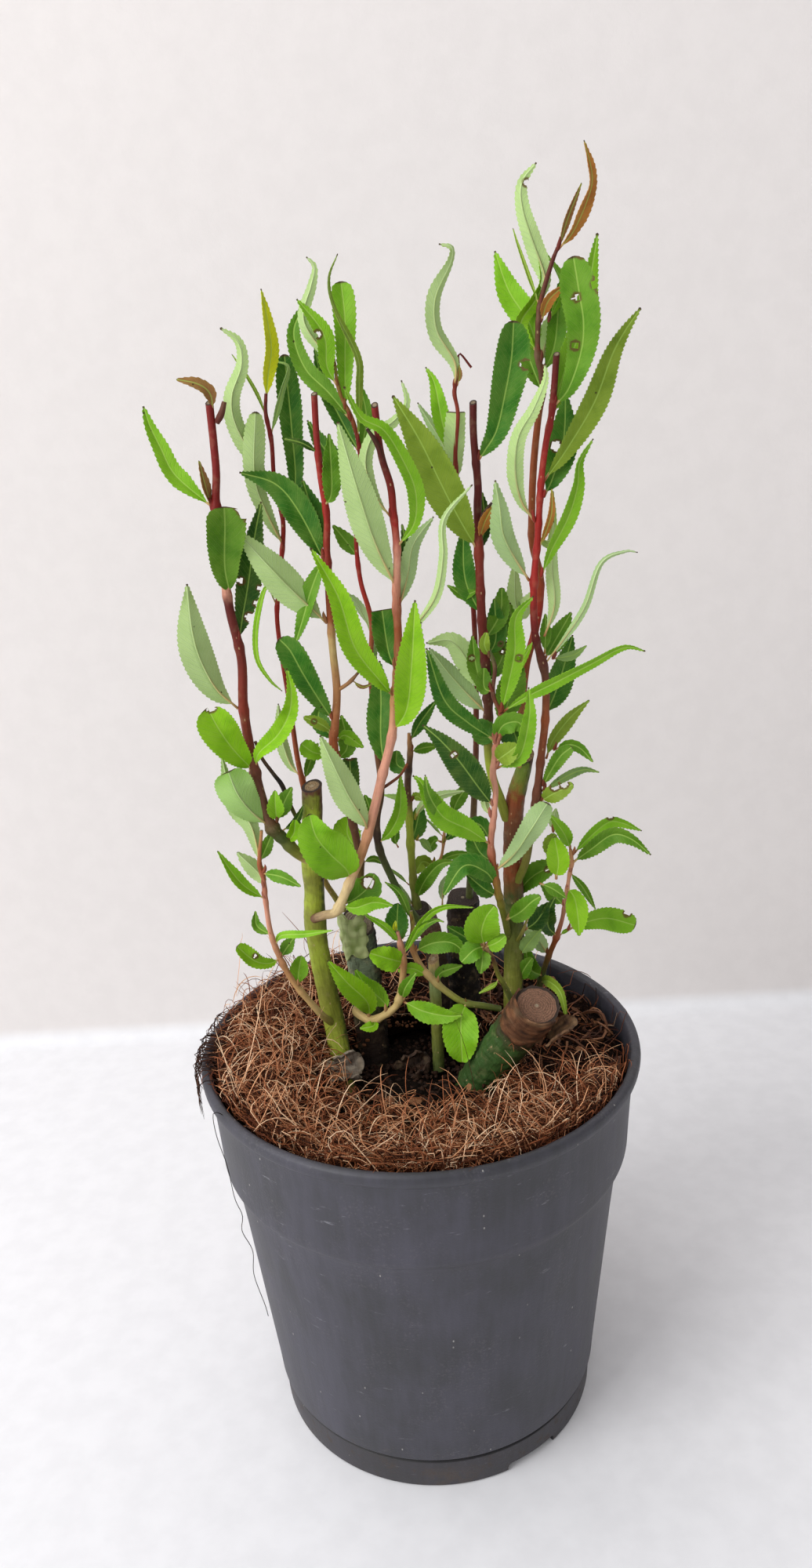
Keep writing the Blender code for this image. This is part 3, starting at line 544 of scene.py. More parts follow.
def fibre_paths(count, low, high, rise, near_opening=0.0):
    """Bent paths of 7 points for fibres scattered over the mat; few lie at the right back, where it is bare."""
    turn = draw.uniform(0, 2 * math.pi, 3 * count)
    bare = np.clip(1.5 * np.cos(turn - 0.75), 0, 0.94) if not near_opening else 0 * turn
    turn = turn[draw.uniform(size=3 * count) > bare][:count]
    opening = hole_radius(turn)
    share = np.sqrt(draw.uniform(0, 1, count)) if not near_opening else draw.uniform(0, near_opening, count)
    r = opening - 1 + (89 - opening) * share
    x, y = r * np.cos(turn), r * np.sin(turn)
    length = draw.uniform(low, high, count) * draw.uniform(0.6, 1.0, count)
    drift = np.array([3.2 * noise.noise(Vector((a / 24, b / 24, 0.3))) for a, b in zip(x, y)])
    aim = drift * math.pi + draw.normal(0, 1.3, count)
    if near_opening:
        aim = turn + math.pi * (draw.uniform(size=count) < 0.5) + draw.normal(0, 0.9, count)
    lift = np.abs(draw.normal(0, rise, count))
    bend, droop = draw.normal(0, 1.5, count), draw.uniform(0.3, 1.9, count)
    s = np.linspace(0, 1, 7)
    heading = aim[:, None] + bend[:, None] * (s - 0.5)
    step = length[:, None] / 6
    px = x[:, None] + np.cumsum(np.cos(heading) * step, axis=1) - 0.5 * length[:, None] * np.cos(aim)[:, None]
    py = y[:, None] + np.cumsum(np.sin(heading) * step, axis=1) - 0.5 * length[:, None] * np.sin(aim)[:, None]
    slope = lift[:, None] * (1 - droop[:, None] * s)
    pz = mulch_height(x, y)[:, None] + draw.uniform(-0.6, 1.6, count)[:, None] + np.cumsum(slope * step, axis=1)
    over = np.hypot(px, py)
    ground = np.where(over < 91, mulch_height(px, py) - 0.4, 170)
    away = over - hole_radius(np.arctan2(py, px))
    ground = np.where(away < 0, 160 + 8 * np.exp(away / 6), ground)
    pz = np.maximum(pz, ground + 0.2)
    pz = np.where(over > 89, np.maximum(pz, 177.6), pz)
    front = np.clip(-np.sin(turn), 0, 1)
    reach = np.where(draw.uniform(size=count) < 0.04, 97.5, draw.uniform(87, 97.5, count) - 8.5 * front)
    held = np.minimum(1, reach[:, None] / np.maximum(over, 1))
    shy = hole_radius(np.arctan2(py, px)) - draw.uniform(0, 6, count)[:, None]
    held = np.maximum(held, np.minimum(shy / np.maximum(over, 1), 4))
    px, py = px * held, py * held
    return np.stack([px, py, pz], axis=2)


def fibres(name, paths, thick, tones, shades=FIBRE_TONES_AND_HIGHLIGHTS):
    """One piece of many fibres, each with its own shade."""
    count, rings = len(paths), paths.shape[1]
    model = tube_model(3, rings)
    piece = array_of(model, name, count)
    taper = np.interp(np.linspace(0, 1, rings), [0, 0.15, 0.8, 1], [0.6, 1, 0.8, 0.25])
    radii = draw.uniform(*thick, count)[:, None] * taper
    places, _ = lay(model, paths, radii, front=(0.03, 0.02, 1.0))
    move_points(piece, places.reshape(-1, 3))
    shade = np.clip(draw.normal(tones[0], tones[1], count), 0, 0.999) * (len(shades) - 1)
    low = shade.astype(int)
    colours = shades[low] + (shades[low + 1] - shades[low]) * (shade - low)[:, None]
    paint(piece, "tone", np.repeat(colours, len(model.data.vertices), axis=0))
    return piece


def fibre_look():
    f = Finish("coir_fibre", Specular_IOR_Level=0.15)
    tone = f.attribute("tone")
    mottle = f.noise(f.places(), 2.2, 4)
    colour = f.mix(mottle.over(0.3, 0.7) * 0.3, tone, srgb(74, 40, 24))
    return f.dress(colour, 0.5 + 0.3 * mottle)


coir = fibre_look()
# the under layer takes its tones from the dark end: painted shade beneath the top fibres
for name, count, size, rise, close, thick, tones in (
        ("coir_under", 3600, (10, 30), 0.25, 0, (0.14, 0.28), (0.2, 0.18)),
        ("coir_top", 2700, (7, 24), 1.0, 0, (0.13, 0.27), (0.6, 0.28)),
        ("coir_bristles", 520, (5, 18), 1.2, 0.16, (0.1, 0.2), (0.5, 0.3))):
    keep(fibres(name, fibre_paths(count, *size, rise, close), thick, tones), ["coir_mulch"], "mulch", coir, smooth=60)

# %% [markdown]
# At the right back the pad has thinned out to curled strips of dark husk. At the left some black roots
# have crept over the rim and hang down outside, one of them long and thin as a hair.

# %% Husk strips and stray roots
HUSK = np.array([srgb(30, 18, 14), srgb(58, 34, 24), srgb(92, 58, 40), srgb(134, 92, 66)])


def curls(count):
    """Strongly curled paths for strips that lie at the right back."""
    turn, r = draw.normal(0.75, 0.5, count), draw.uniform(44, 84, count)
    x, y = r * np.cos(turn), r * np.sin(turn)
    length, aim, bend = draw.uniform(8, 24, count), draw.uniform(0, 6.3, count), draw.normal(0, 3.0, count)
    s = np.linspace(0, 1, 7)
    heading = aim[:, None] + bend[:, None] * s
    px = x[:, None] + np.cumsum(np.cos(heading), axis=1) * length[:, None] / 6
    py = y[:, None] + np.cumsum(np.sin(heading), axis=1) * length[:, None] / 6
    reach = np.maximum(np.hypot(px, py), 1)
    px, py = px * np.minimum(1, 86 / reach), py * np.minimum(1, 86 / reach)
    arch = draw.uniform(0.5, 5.0, count)[:, None] * np.sin(math.pi * s)
    return np.stack([px, py, mulch_height(px, py) + 0.6 + arch], axis=2)


def roots(count):
    """Black roots that lie over the left rim and hang outside the pot."""
    turn, s = draw.normal(math.pi + 0.02, 0.13, count), np.linspace(0, 1, 7)
    fall, sway = draw.uniform(4, 20, count), draw.normal(0, 0.07, count)
    r = np.array([84, 90, 94.5, 97, 97.4, 97, 96.4]) + draw.normal(0, 0.5, (count, 7))
    z = np.array([176.0, 178.2, 178.8, 176, 172, 168, 164])
    z = np.where(z < 177, 177.5 + (z - 177.5) * (fall / 13.5)[:, None], z) + draw.normal(0, 0.5, (count, 7))
    angle = turn[:, None] + sway[:, None] * s
    return np.stack([r * np.cos(angle), r * np.sin(angle), z], axis=2)


keep(fibres("husk_strips", curls(150), (0.45, 1.0), (0.5, 0.3), HUSK), ["coir_mulch"], "mulch", coir, smooth=60)
keep(fibres("rim_roots", roots(46), (0.14, 0.34), (0.2, 0.2), HUSK), ["coir_mulch"], "mulch", coir, smooth=60)

# %% [markdown]
# Between the fibres lie crumbs of pith and a few flat brown bud scales. A crumb is modelled once, as a
# ball that is flattened and dented, and scattered with its own turn and size each time.

# %% Pith crumbs and scales
def crumb_model(name, flat):
    bpy.ops.object.select_all(action="DESELECT")
    bpy.ops.mesh.primitive_ico_sphere_add(subdivisions=1, radius=1)
    model = active(name)
    start_edit()
    bpy.ops.mesh.select_all(action="SELECT")
    bpy.ops.transform.vertex_random(offset=0.28, seed=3)
    bpy.ops.transform.resize(value=(1, 0.62, flat))
    bpy.ops.object.mode_set(mode="OBJECT")
    MODELS[name] = model
    return model


def scatter(name, model, count, sizes, spread, bed, tones):
    """Copies of a small model thrown over the pot: spread gives the ring of radii, bed the height at (x, y)."""
    piece = array_of(model, name, count)
    flat = points_of(model) * MM
    turn, r = draw.uniform(0, 2 * math.pi, count), np.sqrt(draw.uniform(spread[0] ** 2, spread[1] ** 2, count))
    x, y = r * np.cos(turn), r * np.sin(turn)
    middle = np.column_stack([x, y, bed(x, y)])
    spin, tip, size = draw.uniform(0, 2 * math.pi, count), draw.normal(0, 0.5, count), draw.uniform(*sizes, count)
    places = []
    for m, a, b, s in zip(middle, spin, tip, size):
        turned = np.array(Matrix.Rotation(a, 3, "Z") @ Matrix.Rotation(b, 3, "X"))
        places.append(m + s * flat @ turned.T)
    move_points(piece, np.vstack(places))
    shade = draw.uniform(0, 1, count)[:, None]
    paint(piece, "tone", np.repeat(np.array(tones[0]) * (1 - shade) + np.array(tones[1]) * shade, len(flat), axis=0))
    return piece


crumb, scale = crumb_model("crumb", 0.7), crumb_model("bud_scale", 0.12)
keep(scatter("pith_crumbs", crumb, 1500, (0.5, 1.5), (26, 86), lambda x, y: mulch_height(x, y) + 0.3,
             (srgb(52, 32, 20), srgb(120, 78, 48))), ["coir_mulch"], "mulch", coir, smooth=0)
# the soil crumbs are near-black as well: damp soil with painted shade
keep(scatter("soil_crumbs", crumb, 900, (0.6, 1.9), (0, 36), lambda x, y: 155.2 + 0 * x,
             (srgb(14, 9, 7), srgb(52, 36, 27))), ["soil"], "soil", coir, smooth=0)
keep(scatter("bud_scales", scale, 110, (1.8, 4.0), (30, 84), lambda x, y: mulch_height(x, y) + 1.6,
             (srgb(84, 52, 36), srgb(158, 112, 76))), ["coir_mulch"], "mulch", coir, smooth=0)

# %% [markdown]
# ## Stakes
# The plant was grown from lengths of willow wood pushed into the soil. Some are thick and old, with
# black wrinkled bark, others are young, smooth and green. Each is a tube with a fine skin: its rings are
# pushed in and out by noise, its cut end is tilted, and its colours are painted by height. Some also have
# painted shade: their right and back side is darker.

# %% Colours of bark and wood
BARK = {name: np.array(srgb(*shade)) for name, shade in {
    "black": (30, 24, 22), "dark": (62, 46, 36), "brown": (104, 72, 50), "umber": (98, 60, 44),
    "grey": (140, 132, 118), "moss": (74, 88, 44), "dull_green": (96, 110, 62), "olive": (128, 132, 52),
    "lime": (162, 178, 58), "green": (112, 140, 50), "deep_red": (120, 28, 24), "red": (156, 38, 32),
    "red_brown": (128, 48, 32), "rust": (150, 78, 44), "tan": (176, 128, 82), "pink": (206, 146, 122),
    "cream": (214, 190, 140), "wine": (88, 28, 24), "pale_green": (166, 184, 122), "straw": (196, 170, 112),
    "pine": (60, 88, 42), "sage": (128, 142, 116),
}.items()}


def bark_at(heights, ramp):
    """Bark colours at board heights, from a list of (height, colour name)."""
    stops = [height for height, _ in ramp]
    shades = np.array([BARK[name] for _, name in ramp])
    return np.stack([np.interp(heights, stops, shades[:, i]) for i in range(3)], axis=1)


def tube(name, path, sides, rings, colours, swell=None, lumps=0.03, cut=None, other=None, ragged=2):
    """A stem along path, rows of (x, y, z, radius) in mm. Its bark has one colour per ring, and can have
    another set of them on one side, painted shade; ragged says how much neighbouring rings run into each other."""
    model = tube_model(sides, rings)
    piece = copy_of(model, name)
    path, length = smooth_path(path, rings)
    radii = np.maximum(path[:, 3], 0.02)
    run = np.linspace(0, length, rings)
    for place, extra, reach in swell or ():
        radii = radii + extra * np.exp(-((run - place) / reach) ** 2)
    places, ring = lay(model, path[None, :, :3], radii[None])
    places, spine = places[0], path[ring, :3]
    out = places - spine
    dents = np.array([noise.noise(Vector(p / 2.6)) + 0.5 * noise.noise(Vector(p / 0.9)) for p in places])
    out = out * (1 + lumps * dents)[:, None]
    places = spine + out
    way = unit(np.gradient(path[:, :3], axis=0))[ring]
    if cut is not None:
        lean = np.array(unit(np.array(cut, float)))
        near = np.clip(1 - (length - run[ring]) / (2.2 * radii[ring]), 0, 1) ** 1.5
        places -= way * (near * (out @ lean) / max(0.3, way[-1] @ lean))[:, None]
    move_points(piece, places)
    flat = points_of(model) * MM
    near_ring = np.clip(ring + np.round(dents * ragged), 0, rings - 1).astype(int)
    shades = colours[near_ring]
    # painted shade: bark that faces the given side takes the darker colours
    if other is not None:
        side, painted_shade_colours = other
        turned = np.clip(1.9 * (unit(out) @ np.array(side, float)) - 0.5 + 0.8 * dents, 0, 1)[:, None]
        shades = shades + (painted_shade_colours[near_ring] - shades) * turned
    paint(piece, "bark", shades)
    paint(piece, "grain", np.column_stack([flat[:, 0] * radii[ring], flat[:, 1] * radii[ring], run[ring]]))
    return piece


def bark_look(name, fissures, gloss, contrast=1.0):
    """Bark: painted colour, darker streaks along the wood, small pale lenticels, fine wrinkles."""
    f = Finish(name, Specular_IOR_Level=0.22)
    grain = f.attribute("grain", out="Vector")
    colour = f.attribute("bark")
    streak = f.noise(f.node("Mapping", {}, Vector=grain, Scale=(1.6, 1.6, 0.22)), 1.5, 5, 0.65, 0.3)
    rings = f.noise(f.node("Mapping", {}, Vector=grain, Scale=(0.35, 0.35, 2.4)), 1.6, 5, 0.7)
    blotch = f.noise(grain, 4.5, 3)
    dots = f.cells(f.node("Mapping", {}, Vector=grain, Scale=(1, 1, 0.55)), 1.9)
    chance = f.node("SeparateColor", {}, f.cells(f.node("Mapping", {}, Vector=grain, Scale=(1, 1, 0.55)), 1.9,
                                                 out="Color"), out="Red")
    dark = f.mix(1.0, colour, (0.28, 0.24, 0.22), "MULTIPLY")
    light = f.mix(0.35, colour, srgb(196, 170, 130))
    tone = f.mix(streak.over(0.42, 0.75) * 0.75 * contrast, colour, dark)
    tone = f.mix(rings.over(0.56, 0.74) * fissures, tone, dark)
    tone = f.mix(blotch.over(0.52, 0.72) * 0.5 * contrast, tone, light)
    tone = f.mix(dots.over(0.2, 0.1) * chance.over(0.66, 0.7) * 0.6, tone, srgb(190, 160, 118))
    return f.dress(tone, gloss + 0.3 * rings, streak * 0.7 + rings * (0.5 + fissures), 0.28 + 0.5 * fissures)


def cut_look(name, wood, rim):
    """A sawn end: a dark rim of bark, a paler ring of sapwood, fine rays and cracks, a spot of pith."""
    f = Finish(name)
    grain = f.attribute("grain", out="Vector")
    parts = {axis: f.node("SeparateXYZ", {}, grain, out=axis) for axis in ("X", "Y")}
    radius = (parts["X"] ** 2 + parts["Y"] ** 2) ** 0.5
    wobble = f.noise(grain, 2.5, 3)
    rings = f.node("Math", {"operation": "SINE"}, (radius + wobble * 1.2) * 6.5)
    angle = f.node("Math", {"operation": "ARCTAN2"}, parts["Y"], parts["X"])
    rays = f.noise(f.node("CombineXYZ", {}, angle * 9, radius * 0.25, 0.0), 1.0, 3, 0.7)
    fibre = f.noise(grain, 0.5, 4, 0.7)
    colour = f.mix(fibre.over(0.3, 0.75), srgb(*wood), srgb(*[v * 0.62 for v in wood]))
    colour = f.mix(rings.over(0.2, 1.0) * 0.35, colour, srgb(*[v * 0.5 for v in wood]))
    colour = f.mix(rays.over(0.60, 0.68) * 0.7, colour, srgb(44, 32, 26))
    colour = f.mix(radius.over(1.1, 0.5) * 0.6, colour, srgb(196, 178, 150))
    edge = (radius + wobble * 1.1).over(rim, rim + 0.7)
    colour = f.mix(edge, colour, srgb(52, 38, 30))
    return f.dress(colour, 0.75 + 0.2 * fibre, rays * -1.0 + fibre * 0.6 + rings * 0.2, 0.5)


# %% Stakes
STAKES = {
    # name: (stations on the board: x, z, depth, radius), bark by board height, the way the cut end faces
    "left_cutting": ([(-34.5, 150, -4, 4.8), (-36, 180, 6, 4.7), (-39, 205, 8, 4.5), (-41, 225, 10, 4.4),
                      (-41.3, 237, 10, 4.8), (-40.6, 250, 10, 4.3), (-40.4, 262, 10, 4.7), (-40.2, 268, 10, 4.3),
                      (-38.7, 285, 10, 4.3), (-38, 296, 10, 4.2)],
                     [(150, "olive"), (165, "lime"), (200, "olive"), (215, "lime"), (236, "olive"), (242, "lime"),
                      (254, "olive"), (262, "lime"), (284, "lime"), (291, "olive"), (295, "umber")],
                     (-0.1, -0.25, 0.95)),
    "right_cutting": ([(41, 170, 14, 4.5), (41.5, 200, 16, 4.4), (42.5, 225, 18, 4.4), (42.6, 250, 18, 4.3),
                       (43, 272, 18, 4.1), (44.4, 286, 18, 4.0), (47.2, 296, 18, 3.4), (49.4, 304, 18, 2.8)],
                      [(170, "olive"), (200, "olive"), (240, "moss"), (255, "rust"), (268, "brown"), (287, "rust"),
                       (292, "olive"), (300, "green"), (303, "dark")], (-0.1, -0.6, 0.8)),
    "left_dark_stake": ([(-20, 160, 20, 7.4), (-21.5, 195, 24, 7.3), (-22.5, 220, 27, 7.2), (-23.5, 234, 28, 7.0)],
                        [(160, "black"), (186, "dark"), (198, "dull_green"), (212, "sage"), (232, "sage")],
                        (0.2, -0.42, 0.88)),
    "back_stake": ([(20, 175, 32, 7.2), (20.5, 205, 38, 7.4), (21, 230, 42, 7.4), (21.3, 243, 44, 7.2)],
                   [(175, "black"), (215, "black"), (232, "dark"), (243, "black")], (0.0, -0.2, 0.98)),
    "front_stake": ([(14, 134, 6, 7.6), (24, 152, -2, 8.6), (35, 168, -12, 9.0), (46, 182, -22, 9.2),
                     (51.5, 189.5, -27, 9.2)],
                    [(134, "black"), (150, "pine"), (176, "pine"), (180, "dark"), (182, "brown"), (187, "rust"),
                     (190, "umber")], (0.15, -0.5, 0.85)),
    "pale_stub": ([(7.6, 160, 8, 2.6), (7.8, 195, 13, 2.6), (7.6, 215, 14, 2.4)],
                  [(160, "moss"), (190, "olive"), (206, "pale_green"), (215, "straw")], (-0.3, -0.4, 0.85)),
    "knob_stake": ([(9, 174, 25, 4.4), (9.5, 200, 27, 4.5), (8.5, 220, 28, 4.6), (5.5, 233, 28, 5.2),
                    (3, 239, 27, 4.2)],
                   [(174, "black"), (215, "dark"), (228, "umber"), (239, "grey")], (-0.2, -0.4, 0.9)),
}
PAINTED_SHADE_SIDE = {
    # painted shade: darker bark on the side that faces right and back, away from the light at the left; board height
    # and colour name
    "left_cutting": [(150, "dark"), (180, "moss"), (215, "olive"), (246, "moss"), (252, "black"), (260, "dark"),
                     (266, "olive"), (290, "umber")],
    "left_dark_stake": [(160, "black"), (234, "black")],
    "right_cutting": [(170, "black"), (210, "dark"), (232, "black"), (256, "umber"), (285, "brown"), (292, "moss"),
                      (298, "black"), (303, "umber")],
    "front_stake": [(134, "black"), (176, "black"), (182, "dark"), (190, "brown")],
}


def sawn_end(piece, path, slot):
    """Gives the many-sided face at the end of the path the slot of cut wood."""
    tip = Vector(unit(np.array(path[-1][:3]) - np.array(path[-2][:3])))
    for face in piece.data.polygons:
        if len(face.vertices) > 4 and face.normal.dot(tip) > 0.3:
            face.material_index = slot


young = bark_look("green_bark", 0.2, 0.34, 0.6)
old = bark_look("old_bark", 0.8, 0.5, 1.0)
grey_cut = cut_look("grey_cut", (168, 150, 128), 6.2)
brown_cut = cut_look("brown_cut", (150, 108, 84), 8.3)
dark_cut = cut_look("dark_cut", (66, 50, 42), 6.4)
pale_cut = cut_look("pale_cut", (176, 146, 106), 3.2)


DULL_STAKES = ("left_dark_stake", "back_stake", "knob_stake")
CUT_FACES = {"front_stake": brown_cut, "left_dark_stake": grey_cut, "back_stake": dark_cut, "knob_stake": dark_cut}
STAKE_SIDES, STAKE_RINGS = 40, 121

for name, (stations, ramp, lean) in STAKES.items():
    path = [(*at(x, z, depth), radius) for x, z, depth, radius in stations]
    spaced, _ = smooth_path(stations, STAKE_RINGS)
    rough = 0.09 if name in DULL_STAKES or name == "front_stake" else 0.05
    # some stakes get painted shade: darker bark on their right and back
    other = ((0.9, 0.3, -0.2), bark_at(spaced[:, 1], PAINTED_SHADE_SIDE[name])) if name in PAINTED_SHADE_SIDE else None
    piece = tube(name + "_wood", path, STAKE_SIDES, STAKE_RINGS, bark_at(spaced[:, 1], ramp), lumps=rough,
                 cut=lean, other=other, ragged=4)
    sawn_end(piece, path, 1)
    keep(piece, [name], "cutting" if name.endswith("cutting") else "stake", old if name in DULL_STAKES else young,
         CUT_FACES.get(name, pale_cut), smooth=55)

# %% [markdown]
# Loose bark: a warty pale flap hangs on the left stake, the front stake's sawn end has a torn collar and
# a flake standing off at its right, and a curled grey chunk lies at the foot of the left cutting.

# %% Loose bark
bpy.ops.mesh.primitive_grid_add(x_subdivisions=30, y_subdivisions=30, size=1)
sheet = bpy.context.active_object
sheet.name = "bark_sheet"
MODELS["bark_sheet"] = sheet


def bark_flake(name, spine, wrap, spread, thick, shades, warts, replaces, flare=0.0, ragged=0.16, look=old):
    """A sheet of bark bent round spine, two points with a radius each, over wrap (from, to) degrees where
    -90 faces the front. Its edges are torn; flare stands its top off the wood."""
    piece = copy_of(sheet, name)
    flat = points_of(piece) * MM
    u, v = flat[:, 0] + 0.5, flat[:, 1] + 0.5
    start, end = (np.array(p, float) for p in spine)
    axis = unit((end - start)[:3])
    side = unit(np.cross([0, 1.0, 0], axis))
    front = np.cross(side, axis)
    torn = np.array([noise.noise(Vector((a * 4.3, b * 4.3, len(name)))) for a, b in zip(u, v)])
    u = 0.5 + (u - 0.5) * (1 + ragged * 1.6 * torn)
    v = 0.5 + (v - 0.5) * (1 + ragged * 2.2 * torn)
    turn = np.radians(wrap[0] + (wrap[1] - wrap[0]) * u)
    middle = start[:3] + (end - start)[:3] * v[:, None]
    radius = start[3] + (end[3] - start[3]) * v + flare * v ** 2 + spread
    bumps = np.array([noise.noise(Vector((a * 6, b * 6, 3.0))) for a, b in zip(u, v)])
    radius = radius + warts * np.maximum(0, bumps + 0.1)
    places = middle + radius[:, None] * (np.cos(turn)[:, None] * side - np.sin(turn)[:, None] * front)
    move_points(piece, places)
    shade = np.clip(0.5 + 0.9 * bumps + 0.5 * torn, 0, 1)[:, None]
    paint(piece, "bark", np.array(srgb(*shades[0])) * (1 - shade) + np.array(srgb(*shades[1])) * shade)
    paint(piece, "grain", np.column_stack([u * 8, np.zeros(len(u)), v * 12]))
    bpy.ops.object.select_all(action="DESELECT")
    piece.select_set(True)
    bpy.context.view_layer.objects.active = piece
    bpy.ops.object.modifier_add(type="SOLIDIFY")
    piece.modifiers[-1].thickness, piece.modifiers[-1].offset = thick / 1000, 0
    bpy.ops.object.modifier_apply(modifier=piece.modifiers[-1].name)
    start_edit()
    bpy.ops.mesh.select_all(action="SELECT")
    bpy.ops.mesh.normals_make_consistent(inside=False)
    bpy.ops.object.mode_set(mode="OBJECT")
    return keep(piece, [replaces], "stake" if replaces != "coir_mulch" else "mulch", look, smooth=50)


def board_spine(*stations):
    return [(*at(x, z, depth), radius) for x, z, depth, radius in stations]


bark_flake("pale_flap", board_spine((-22.6, 221, 27, 7.1), (-24, 240, 28, 7.1)), (-190, -62), 0.6, 1.0,
           ((132, 150, 84), (186, 196, 140)), 1.1, "left_dark_stake", 0.6, look=young)
bark_flake("torn_collar", board_spine((45, 180.5, -21, 9.1), (51.6, 190, -27, 9.1)), (-215, -20), 0.3, 0.8,
           ((62, 40, 28), (124, 82, 54)), 0.7, "front_stake", 0.2, 0.28)
bark_flake("side_flake", board_spine((49, 179, -25, 9.0), (58, 189, -26, 9.0)), (-48, 25), 0.8, 0.9,
           ((78, 54, 40), (138, 104, 74)), 0.8, "front_stake", 2.6, 0.2)
bark_flake("grey_chunk", board_spine((-41, 163, -13, 4.0), (-27, 166, -12, 5.2)), (-60, 110), 0.3, 1.0,
           ((88, 76, 66), (158, 146, 130)), 1.2, "coir_mulch", 1.2, 0.3)
bark_flake("husk_clump", board_spine((-9, 160, 6, 5.0), (3, 166, 10, 3.4)), (-80, 120), 0.3, 1.2,
           ((36, 26, 22), (92, 70, 56)), 2.4, "coir_mulch", 0.6, 0.4)
hair = [(-78, -47, 173), (-82, -50, 178.5), (-83.6, -51.2, 177.8), (-83, -51.5, 168), (-80, -53, 155),
        (-78.5, -53.5, 140), (-76.5, -52, 130), (-77, -54, 124), (-74, -52, 112), (-75, -50, 98),
        (-71.5, -52, 84), (-71, -50, 76)]
keep(tube("hair_root", [(*place, 0.16) for place in hair], 6, 61, np.tile(HUSK[0], (61, 1)), lumps=0.0),
     ["coir_mulch"], "mulch", coir, smooth=60)

# %% [markdown]
# ## Leaves
# A willow leaf is long and narrow, folded along its midrib like a shallow V, with fine teeth on its margin.
# Above it is glossy green with a pale rib; below it is a dull, bluish grey-green. Flat cards would look
# cheap from the side, so a fine grid is modelled once per length, copied for each leaf, laid along the leaf's own
# midrib and given its outline, teeth, fold and waves. A Solidify modifier then adds the underside.

# %% Leaf outlines and greens
PROFILES = {  # half width, 0 to 1, from foot (0) to tip (1)
    "lance": lambda u: np.sin(np.pi * u ** 0.82) ** 0.95,
    "oval": lambda u: np.sin(np.pi * u ** 0.92) ** 0.6,
    "blunt": lambda u: 1.05 * u ** 0.5 * (1 - u ** 6) ** 0.5,
    "strap": lambda u: np.minimum(1, 3.5 * u) ** 0.7 * (1 - u ** 3) ** 0.85,
    "square": lambda u: u ** 0.42 * (1 - u ** 16) ** 0.5,
    "cut": lambda u: np.sin(np.pi * (0.66 * u) ** 0.82) ** 0.8,
}
GREENS = {name: np.array(srgb(*shade)) for name, shade in {
    "deep": (44, 104, 14), "dark": (30, 76, 10), "mid": (82, 132, 18), "fresh": (116, 172, 18), "lime": (124, 178, 4),
    "olive": (124, 152, 38), "pale": (162, 192, 104), "grey": (128, 162, 90), "yellow": (196, 200, 14),
    "bronze": (176, 108, 44), "dry": (140, 90, 52),
}.items()}
BLADE_ROWS = (36, 60, 90, 126, 168, 210)
TOOTH_ROWS = 4


def blade_model(rows):
    """A flat grid, 2 by 2, for a leaf of this many rows."""
    if ("blade", rows) not in MODELS:
        bpy.ops.object.select_all(action="DESELECT")
        bpy.ops.mesh.primitive_grid_add(x_subdivisions=8, y_subdivisions=rows, size=2)
        MODELS["blade", rows] = active(f"blade_{rows}")
    return MODELS["blade", rows]


def depth_at(stems, x, z):
    """How deep the nearest stem lies at board place (x, z)."""
    best = (1e9, 0.0)
    for stations, _ in stems:
        for (x0, z0, d0, _), (x1, z1, d1, _) in zip(stations, stations[1:]):
            run, rise = x1 - x0, z1 - z0
            t = max(0.0, min(1.0, ((x - x0) * run + (z - z0) * rise) / (run * run + rise * rise)))
            best = min(best, (math.hypot(x0 + t * run - x, z0 + t * rise - z), d0 + t * (d1 - d0)))
    return best[1]


def on_board(places):
    """The board places (x, z) where the points are seen."""
    return (SIGHT + (places - SIGHT) * (-SIGHT[1] / (places[:, 1:2] - SIGHT[1])))[:, [0, 2]]


